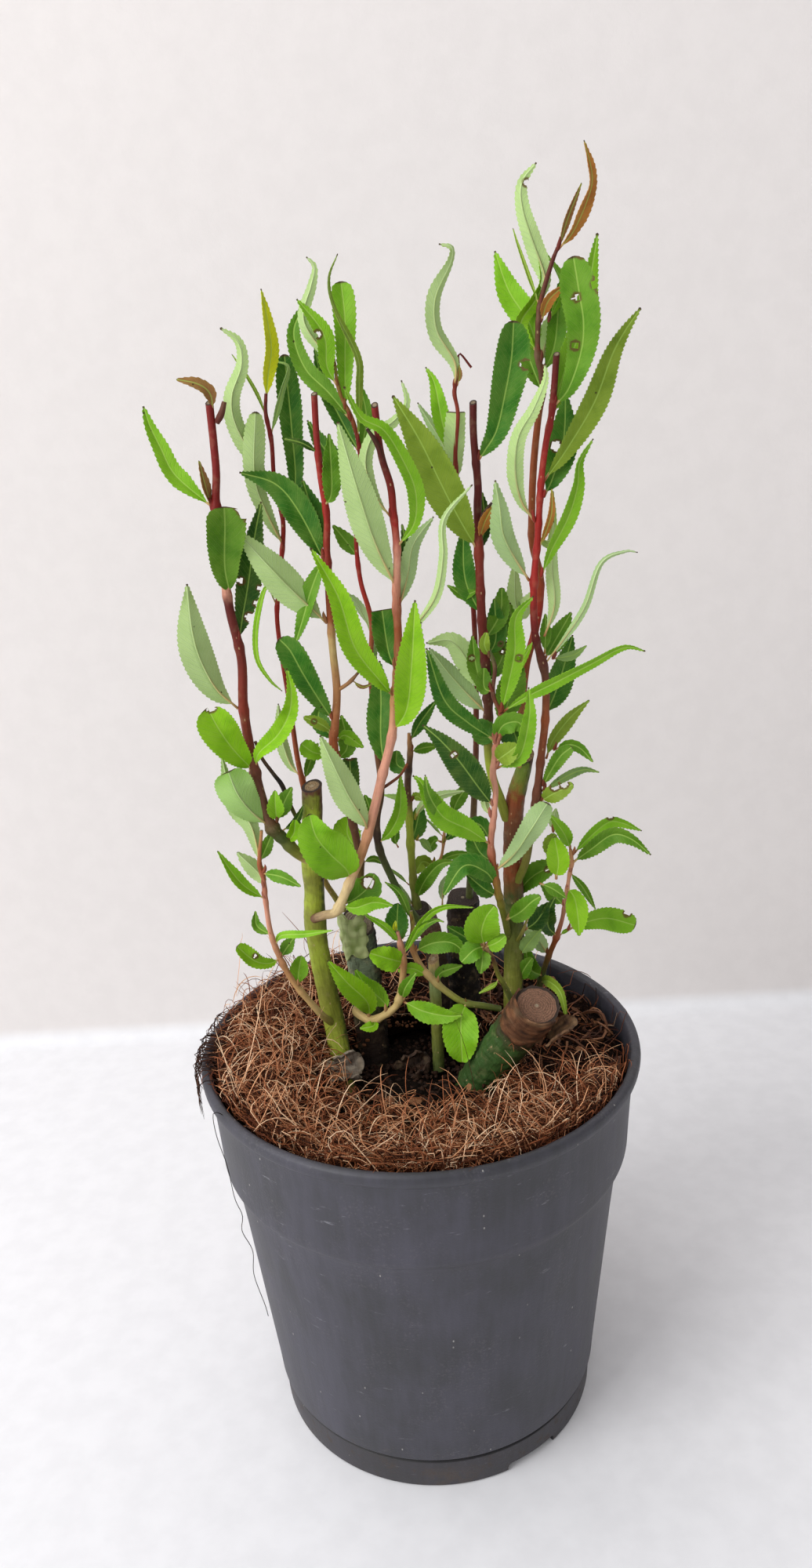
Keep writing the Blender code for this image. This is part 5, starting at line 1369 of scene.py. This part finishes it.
grow("mid_bud", [
    ([(32, 452, 6, 0.5), (27.7, 457, 6, 0.4), (27.4, 450, 6, 0.6), (25.5, 444, 6, 0.7), (26.5, 436, 6, 0.8),
      (25, 420, 9, 0.9), (26.5, 400, 16, 1.0), (29, 380, 24, 1.1), (30, 350, 32, 1.2), (29, 310, 38, 1.4),
      (27, 280, 38, 1.6), (25, 255, 42, 1.8), (23.5, 238, 45, 1.8)],
     [(238, "dull_green"), (300, "umber"), (380, "deep_red"), (440, "red_brown"), (457, "wine")]),
], [
    ([(25.5, 445), (26, 454), (20, 465), (20, 476), (26, 487), (26.5, 492), (22, 493.3)], 6.2, -6, (195, 230),
     "strap", "pale"),
    ([(25, 420), (21, 432), (18.5, 447), (15.5, 453)], 6, 6, (10, -10), "lance", "fresh"),
    ([(25.5, 412), (25, 425), (26, 437)], 7.5, -6, 190, "cut", "pale"),
    ([(25.8, 408), (21, 425), (12, 441)], 5, 12, 190, "lance", "grey"),
    ([(26.6, 446), (27.5, 449), (27.6, 453)], 1.8, -1, 30, "lance", "dry"),
])

# %% Long red rod
grow("right_red", [
    ([(44.5, 249, 15, 2.4), (48, 258, 11, 2.3), (50.5, 272, 9, 2.2), (53, 287, 8, 2.1), (55, 303, 8, 2.1),
      (57, 320, 8, 2.0), (57, 337, 8, 2.0), (53.4, 353, 8, 1.9), (53.2, 372, 8, 1.8), (55, 390, 8, 1.7),
      (56.5, 410, 8, 1.6), (58.5, 424, 8, 1.6), (61, 436, 8, 1.6), (62.8, 455, 8, 1.6)],
     [(249, "olive"), (285, "umber"), (320, "rust"), (338, "umber"), (352, "wine"), (372, "red"), (420, "red"),
      (436, "deep_red"), (455, "wine")]),
], [
    ([(61.5, 437), (67, 443), (71.5, 455), (72.5, 465), (71, 475), (69, 487)], 15, -8, (6, -6), "blunt", "mid",
     [(70, 473.5, 1.2), (69.5, 457.5, 1.3), (79, 478, 3.2), (72, 488, 1.6)]),
    ([(59, 430), (66, 450), (72, 465), (77.5, 494)], 9, 8, 12, "lance", "fresh"),
    ([(57.5, 405), (61, 412), (65, 425), (66, 442)], 11, 9, 0, "lance", "deep", [(62.5, 423, 1.8)]),
    ([(56, 375), (60, 385), (66.5, 397), (70, 408), (71, 417), (76, 425)], 6, -5, (20, 40), "lance", "fresh"),
    ([(55.5, 386), (60, 398), (60.5, 408)], 3, -5, 40, "lance", "bronze"),
    ([(51.5, 374), (46, 383), (42, 392), (41, 402), (39.5, 412)], 8.5, -8, 194, "lance", "grey"),
    ([(54, 396), (49, 404), (47, 415), (48.5, 427), (54, 436), (58.5, 446), (58.5, 452)], 6, -9, (194, 160),
     "strap", "pale"),
    ([(57, 410), (67, 423), (76.5, 438), (82.5, 453), (87, 461), (93, 469)], 9, 12, (20, 5), "lance", "olive"),
    ([(57, 343), (61, 350), (67.5, 361)], 8, 10, 10, "lance", "mid"),
    ([(57, 320), (62, 332), (68, 352)], 10.5, 14, 10, "lance", "deep"),
    ([(57, 341), (65, 351), (73, 363), (79, 379), (88, 383), (93, 382.5)], 2.8, -6, (150, 210), "strap", "grey"),
    ([(57, 345), (57.5, 353), (57.5, 361)], 4.2, 5, 0, "lance", "mid"),
    ([(57, 302), (60, 310), (67, 319), (74.5, 325.5)], 5.6, 8, 15, "lance", "olive"),
    ([(55.5, 290.5), (59, 297), (63, 303), (67.5, 306.5)], 6.6, -8, (0, 10), "blunt", "mid"),
    ([(60, 305.5), (66, 307.5), (71, 305.5), (76, 299.5)], 4.2, -4, (0, 30), "lance", "mid"),
    ([(55.5, 288), (64, 293.5), (72, 296.5), (78.5, 295)], 3.6, 7, 20, "lance", "grey"),
    ([(54.5, 284), (60, 287), (68, 290.5)], 7, -7, (10, 0), "oval", "olive", [(60.5, 290, 1.7), (64.2, 290.6, 1.5)]),
    ([(60, 343), (68, 344), (73.5, 347.5)], 3.4, 9, 10, "lance", "grey"),
    ([(57, 352), (61, 364), (60.5, 378), (61, 396)], 5, 4, (190, 200), "lance", "pale"),
    ([(53.5, 352), (46, 340), (46, 352)], 3.4, -3, 20, "lance", "lime"),
], 0.76)

# %% Tallest rod
grow("right_back", [
    ([(47, 299, 17, 1.9), (47.4, 320, 20, 1.8), (49.5, 340, 20, 1.8), (53, 353, 20, 1.7), (55.2, 364, 20, 1.7),
      (55.6, 376, 18, 1.6), (53, 388, 17, 1.6), (53, 402, 17, 1.5), (54, 418, 17, 1.5), (56, 434, 17, 1.4),
      (57.6, 442, 17, 1.3), (57.4, 448, 17, 1.2), (56, 456, 17, 1.1), (57, 471, 17, 1.0), (61, 484, 17, 0.9),
      (63.5, 490, 17, 0.7)],
     [(299, "tan"), (340, "rust"), (360, "red"), (380, "rust"), (430, "rust"), (445, "brown"), (470, "umber"),
      (490, "wine")]),
], [
    ([(63.4, 489), (69, 495), (74, 505), (75.5, 512), (72.8, 523)], 5, -5, (30, 60), "strap", "bronze"),
    ([(63.5, 489), (67, 499), (72, 510)], 2.8, 5, (50, 30), "lance", "dry"),
    ([(57.3, 471), (59, 480), (55, 492), (51.5, 503), (51.5, 511), (56.5, 517)], 6.5, 5, (190, 165), "strap", "pale",
     [(53, 511, 0.9)]),
    ([(56.5, 455), (53, 466), (46, 477), (41.5, 490)], 9.5, 8, 6, "lance", "fresh"),
    ([(56.5, 455), (50, 465), (55, 473), (58, 479), (57, 487)], 5, 3, (10, 40), "strap", "lime"),
    ([(60, 466), (62, 470), (65, 478), (60, 487), (56.5, 491)], 4.6, 8, (40, 80), "strap", "fresh"),
    ([(57, 452), (60, 462), (66, 472)], 7.5, 11, 188, "lance", "pale"),
    ([(57, 471), (53, 482), (49.5, 492), (48, 497)], 1.4, 5, 20, "strap", "olive"),
    ([(57.4, 442), (52, 456), (50, 462)], 7, 10, 10, "lance", "mid"),
    ([(57.4, 466), (60, 473), (66, 478)], 4, -6, 20, "lance", "bronze"),
    ([(53, 392), (60, 388), (61, 407)], 3.2, 7, 10, "strap", "pale"),
    ([(55.4, 372), (47, 363), (46, 382)], 7, 8, 188, "lance", "pale"),
    ([(57.4, 448), (62, 458), (64, 474), (66, 482)], 7, 6, 10, "lance", "mid"),
])

# %% Winding right rod
grow("sinuous", [
    ([(41, 216, 20, 2.2), (39, 230, 12, 2.2), (36.4, 243, 4, 2.1), (34.6, 256, 3, 2.0), (33.7, 266, 2, 1.9),
      (35.4, 280, 1, 1.7), (36.3, 290, 1, 1.7), (35.4, 297, 1, 1.6), (37, 308, 1, 1.5), (39.5, 316, 1, 1.3),
      (39.3, 322, 1, 1.2), (36.4, 330, 1, 1.1), (37.4, 341, 1, 1.2), (35, 348, 1, 1.4)],
     [(214, "moss"), (240, "olive"), (262, "rust"), (285, "pink"), (306, "pink"), (318, "rust"), (332, "umber"),
      (340, "umber"), (348, "dull_green")]),
], [
    ([(39.3, 322), (48, 327.5), (60, 333), (75, 340), (88, 346), (96.5, 344)], 5, -8, (12, 50), "strap", "fresh"),
    ([(36.6, 311), (26, 319), (17, 329), (11, 350)], 7.5, -10, (10, -10), "lance", "deep"),
    ([(35, 283), (29, 292), (22, 303), (15, 312), (8, 319)], 11.5, -14, (4, -8), "lance", "dark", [(20, 306, 1.0)]),
    ([(33.7, 266), (25, 273), (15, 279), (10, 287), (6, 295), (3, 298)], 9.5, -14, (10, 0), "lance", "fresh"),
    ([(20, 277), (13, 282), (9, 290), (8, 298)], 5.5, -16, 12, "lance", "mid"),
    ([(35.5, 254.5), (43, 261), (50, 271), (57.5, 283)], 11, -12, 192, "blunt", "grey"),
    ([(36.5, 299), (42, 301), (47, 305), (50.5, 320), (50.5, 332)], 6.6, -9, (30, 10), "lance", "fresh"),
    ([(36.5, 302), (41, 305), (45.8, 308.5)], 8.5, -6, 0, "oval", "olive"),
    ([(38.5, 322), (43, 317), (47, 306)], 12, 5, 0, "oval", "deep"),
    ([(39.5, 316), (42, 326), (47, 343)], 11, 6, 0, "oval", "mid", [(41, 333, 0.8)]),
    ([(37, 309), (33, 314), (30, 320)], 10, 7, 0, "oval", "deep"),
    ([(39.3, 322), (45, 345), (46, 360), (53, 368)], 7.5, -4, (10, 30), "lance", "fresh", [(47, 344, 1.0)]),
    ([(36.5, 331), (33, 333), (33, 341)], 6, 5, 0, "oval", "mid"),
    ([(35.4, 345), (33.5, 350), (34.5, 355)], 4, -3, 20, "oval", "olive"),
    ([(34.5, 258), (29, 263), (25, 273)], 9, 6, 0, "lance", "deep"),
    ([(35.5, 247), (31, 254), (22, 257), (13, 244)], 9, -7, (0, 25), "lance", "deep"),
    ([(36.6, 311), (40, 317), (46, 318), (49, 313)], 8, -3, 10, "oval", "mid"),
    ([(33.6, 268), (29.5, 275), (23.5, 276.5)], 7, 4, 0, "lance", "deep"),
    ([(35.8, 242.5), (30, 246.5), (23, 253.5)], 7, -3, 0, "lance", "deep"),
    ([(34, 278), (32, 284), (31.5, 292)], 3.2, 6, 195, "lance", "pale"),
], 0.7)

# %% [markdown]
# ## Low shoots
# Short shoots with small, broad leaves fill the space just above the soil. Their wood is pale
# and thin, and wanders.

# %% Low shoots
grow("low_left", [
    ([(-38, 187, 4, 1.9), (-42, 191, -2, 1.7), (-47.5, 199, -5, 1.5), (-53, 208, -6, 1.4), (-57.5, 219, -6, 1.3),
      (-60.5, 232, -6, 1.2), (-61.2, 246, -6, 1.1), (-61.2, 256, -6, 1.0), (-62.2, 264, -6, 0.9),
      (-60, 278, -6, 0.7)],
     [(187, "olive"), (196, "straw"), (215, "tan"), (240, "pink"), (262, "rust"), (278, "tan")]),
], [
    ([(-61, 247), (-69, 253), (-74, 260), (-79, 270)], 5, -5, (10, 30), "lance", "fresh"),
    ([(-61.3, 252), (-63, 259), (-71, 269)], 6.5, 6, 190, "lance", "pale"),
    ([(-61.5, 259), (-54, 257), (-46, 252)], 5, -8, 10, "lance", "mid"),
    ([(-62, 264), (-59, 270), (-55, 278)], 5, 12, 0, "lance", "mid"),
    ([(-61.8, 262), (-64, 280), (-70, 290), (-73, 311)], 6.5, 8, (186, 200), "lance", "pale"),
    ([(-57.5, 219), (-63, 217), (-69, 219), (-75.5, 226)], 8, -8, (10, 30), "blunt", "lime", [(-68, 221, 0.7)]),
    ([(-58.8, 226), (-56, 230), (-46, 230), (-34, 231)], 3, -12, 10, "lance", "fresh"),
    ([(-57.5, 219), (-55, 223), (-50.5, 229)], 5.5, 4, 0, "lance", "mid"),
    ([(-51, 205), (-50.5, 211), (-48.5, 220)], 7.5, 6, 0, "oval", "fresh"),
    ([(-60, 230), (-66, 235), (-66, 242)], 4, 6, 10, "lance", "mid"),
])
grow("low_centre", [
    ([(-24, 194, 17, 2.2), (-27, 191.5, 10, 2.0), (-21, 187, 5, 1.9), (-15, 189, 3, 1.8), (-9, 194, 2, 1.7),
      (-6.4, 204, 2, 1.6), (-5.2, 214, 2, 1.5), (-6, 222, 2, 1.2), (-7, 229, 2, 0.8)],
     [(187, "straw"), (198, "straw"), (214, "tan"), (229, "pink")]),
], [
    ([(-21.5, 188), (-22, 196), (-30, 206), (-37.5, 217)], 10, -8, (4, -12), "lance", "lime"),
    ([(-14, 190), (-14.5, 195), (-22, 204), (-26, 212)], 9, 5, 0, "lance", "fresh"),
    ([(-19, 187.5), (-20, 184), (-26, 183)], 4.4, -6, 0, "lance", "lime"),
    ([(-6.8, 195.5), (2, 190), (12, 187), (19, 187)], 8.5, -10, (0, 20), "lance", "fresh"),
    ([(-7, 196), (-5, 202), (0, 209)], 5, -5, 0, "lance", "mid"),
    ([(-4.9, 214), (-11, 216), (-19.5, 219.5)], 10, -7, 0, "oval", "lime"),
    ([(-6, 223), (-12, 231), (-21, 238)], 3, -4, 20, "lance", "fresh"),
    ([(-6, 222), (-7, 231), (-6, 242)], 9.5, 6, 0, "oval", "deep"),
    ([(-5.5, 219), (2, 229), (9, 233), (13, 232)], 3.6, -6, 20, "lance", "mid"),
    ([(-5.2, 217), (4, 233), (13, 239), (26, 238)], 3.4, -9, (20, 50), "lance", "fresh"),
    ([(-7, 229), (-8, 231), (-7.4, 234)], 1.8, -5, 10, "lance", "yellow"),
])
grow("low_right", [
    ([(35.5, 189, 5, 1.5), (28, 191, 3, 1.6), (20, 193, 3, 1.6), (12.5, 199, 5, 1.6), (6, 206, 6, 1.7),
      (1.5, 213, 7, 1.6), (-1.2, 222, 7, 1.2), (-0.4, 231, 7, 1.0), (-0.8, 238, 7, 0.8)],
     [(188, "moss"), (196, "olive"), (206, "straw"), (220, "tan"), (238, "olive")]),
], [
    ([(21, 193), (18.5, 186), (18, 175), (18.2, 163)], 15, -14, (0, 8), "oval", "fresh"),
    ([(-0.3, 219), (8, 222.5), (16, 222), (22, 216)], 9, -5, (0, 20), "lance", "mid"),
    ([(9, 203), (10.5, 208), (20, 211)], 5, 8, 0, "lance", "mid"),
    ([(-0.5, 233), (-5, 246), (-11, 252)], 3.4, 6, 10, "lance", "mid"),
    ([(5, 207), (-2, 211), (-8, 210)], 5, -3, 0, "lance", "fresh"),
])
grow("low_fork", [
    ([(41, 192, 12, 1.6), (38.2, 199, 6, 1.3), (35, 206, 3, 1.1), (33, 213.5, 2, 1.0), (29.5, 219.5, 0, 0.9)],
     [(192, "dull_green"), (206, "olive"), (214, "umber"), (220, "straw")]),
], [
    ([(29.5, 220), (28.5, 226), (30.5, 233), (34.5, 238.5)], 14.5, -7, (0, 10), "oval", "fresh"),
    ([(29.5, 219.5), (25, 218), (19.5, 212.5)], 8.5, -6, 0, "oval", "mid"),
    ([(29, 219), (28.5, 213), (27.4, 206.5)], 6.5, -8, 0, "lance", "mid"),
    ([(30, 219), (35, 221), (39, 224)], 7, -5, 0, "oval", "fresh"),
    ([(29, 219), (25, 222), (14, 230)], 8, 13, 0, "lance", "deep"),
    ([(35.5, 204), (33, 200.5), (26.5, 197)], 2.2, -4, 20, "strap", "olive"),
])
grow("small_pale", [
    ([(43.5, 221, 15, 1.0), (46.2, 226, 8, 0.7), (49.5, 235, 5, 0.6), (52.5, 241, 4, 0.5)],
     [(221, "olive"), (241, "straw")]),
], [
    ([(39.5, 231.5), (45, 234.5), (50, 239), (54, 241.5)], 8, -9, 0, "oval", "mid"),
    ([(46.5, 226), (52, 230), (57.5, 238.5)], 8, 5, 0, "lance", "dark"),
    ([(44.5, 214), (48, 219.5), (54, 226.5)], 6.5, -2, 10, "lance", "grey"),
    ([(44.5, 201.5), (46, 207), (50, 213)], 6, -2, 0, "oval", "mid"),
    ([(60.5, 249), (61.5, 257), (60, 268)], 9, -3, 0, "oval", "lime"),
    ([(53.5, 247.5), (59, 244.5), (64.5, 240)], 5, -2, 0, "lance", "mid"),
])
grow("low_far_right", [
    ([(50, 178, 28, 2.6), (53, 200, 28, 2.3), (56.5, 212, 24, 2.0), (60, 221, 21, 1.9), (63, 231, 18, 1.5),
      (64.6, 241, 16, 1.4), (66, 250, 15, 1.3), (67, 256, 15, 1.2), (66.6, 262, 15, 1.1)],
     [(178, "brown"), (205, "moss"), (222, "rust"), (240, "pink"), (262, "tan")]),
], [
    ([(67.5, 259.5), (74, 266.5), (82, 273), (88, 272.5), (96, 268.5)], 5.6, 3, (10, 40), "lance", "fresh",
     [(83, 275.8, 1.2)]),
    ([(67.5, 256), (75, 261.5), (84, 267.5), (92, 265), (100, 257.5)], 7, -14, (10, 30), "lance", "mid"),
    ([(66.6, 262), (64, 269), (58, 278)], 5.6, -5, 10, "lance", "fresh"),
    ([(66, 252), (72, 244), (77, 234)], 3.4, 5, 20, "lance", "mid"),
    ([(64.6, 245), (68, 240), (69.5, 231), (70, 222)], 9, -9, 0, "lance", "lime"),
    ([(61.5, 222.5), (64, 224.5), (67, 226)], 1.6, 3, 0, "strap", "fresh"),
    ([(65, 225), (72, 228), (82, 229.5), (94, 225.5)], 12.5, 5, (0, 15), "blunt", "fresh", [(90.5, 231.5, 1.4)]),
    ([(60.5, 222.5), (57, 227), (57, 234), (60, 241)], 7, -9, 20, "lance", "dark"),
    ([(64, 236), (59, 242), (54, 247)], 7, 7, 0, "lance", "mid"),
    ([(53.5, 201), (57, 201), (62, 195), (64.5, 182)], 4.6, -26, (0, 30), "strap", "olive"),
    ([(57, 213), (52, 222), (46, 228)], 7, 9, 190, "lance", "grey"),
    ([(54, 204), (49, 208), (46.5, 222)], 7.5, -12, 0, "lance", "mid"),
    ([(64.5, 256), (57, 254), (50, 250), (42.5, 241.5)], 9.5, 6, (4, 20), "lance", "mid", [(57, 253.5, 0.9)]),
    ([(60, 257), (58.5, 264), (60, 269.5)], 6.5, 5, 5, "oval", "olive"),
    ([(59.5, 270), (60, 275), (60.8, 280.5)], 4.2, 6, 190, "lance", "pale"),
], 0.62)

# %% [markdown]
# ## Floor and light
# A pale floor turns up into a pale, slightly warm plaster wall close behind the pot. One large soft light
# stands at the left like a window, and weak ones fill in from the front, the right and above.

# %% Floor, light and sky
bpy.ops.object.select_all(action="DESELECT")
bpy.ops.mesh.primitive_plane_add(size=6, location=(0, -2.7, 0))
floor = active("floor")
start_edit("EDGE")
bpy.ops.mesh.select_all(action="DESELECT")
bpy.ops.object.mode_set(mode="OBJECT")
for edge in floor.data.edges:
    edge.select = all(floor.data.vertices[v].co.y > 2.9 for v in edge.vertices)
start_edit("EDGE")
for y, z in ((0.006, 0.001), (0.005, 0.005), (0.001, 0.006), (0.0, 0.4), (0.0, 2.4)):
    bpy.ops.mesh.extrude_region_move(TRANSFORM_OT_translate={"value": (0, y, z)})
bpy.ops.object.mode_set(mode="OBJECT")
settle(floor)


def floor_look():
    f = Finish("pale_plaster")
    where = f.places()
    grain = f.noise(where, 14, 4)
    pebbles = f.noise(where, 3.2, 3)
    wall = f.node("SeparateXYZ", {}, where, out="Z").over(2, 14)
    floor_tone = f.mix(grain.over(0.3, 0.7), srgb(231, 231, 234), srgb(236, 236, 239))
    wall_tone = f.mix(grain.over(0.3, 0.7), srgb(221, 216, 214), srgb(224, 219, 217))
    return f.dress(f.mix(wall, floor_tone, wall_tone), 0.75 + 0.1 * grain, pebbles * wall + grain * 0.2, 0.12)


floor.data.materials.append(floor_look())
bpy.ops.object.select_all(action="DESELECT")
floor.select_set(True)
bpy.context.view_layer.objects.active = floor
bpy.ops.object.shade_smooth_by_angle(angle=math.radians(60))

for name, place, size, power in (("window", (-2.3, -1.5, 1.6), 1.9, 68), ("front", (-0.4, -1.7, 1.5), 1.2, 5),
                                 ("fill", (1.4, -0.9, 0.7), 1.2, 1.2), ("top", (-0.5, -0.15, 1.6), 0.9, 5)):
    bpy.ops.object.light_add(type="AREA", location=place)
    light = bpy.context.object
    light.name = name + "_light"
    light.data.size, light.data.energy = size, power
    light.rotation_euler = (Vector((0, 0, 0.28)) - Vector(place)).to_track_quat("-Z", "Y").to_euler()

sky = bpy.data.worlds.new("studio")
bpy.context.scene.world = sky
sky.use_nodes = True
sky.node_tree.nodes["Background"].inputs["Color"].default_value = (1.0, 0.99, 1.0, 1)
sky.node_tree.nodes["Background"].inputs["Strength"].default_value = 0.42

# %% [markdown]
# The models that the copies came from have done their work and are thrown away.

# %% Throw the models away
for model in MODELS.values():
    bpy.data.objects.remove(model)
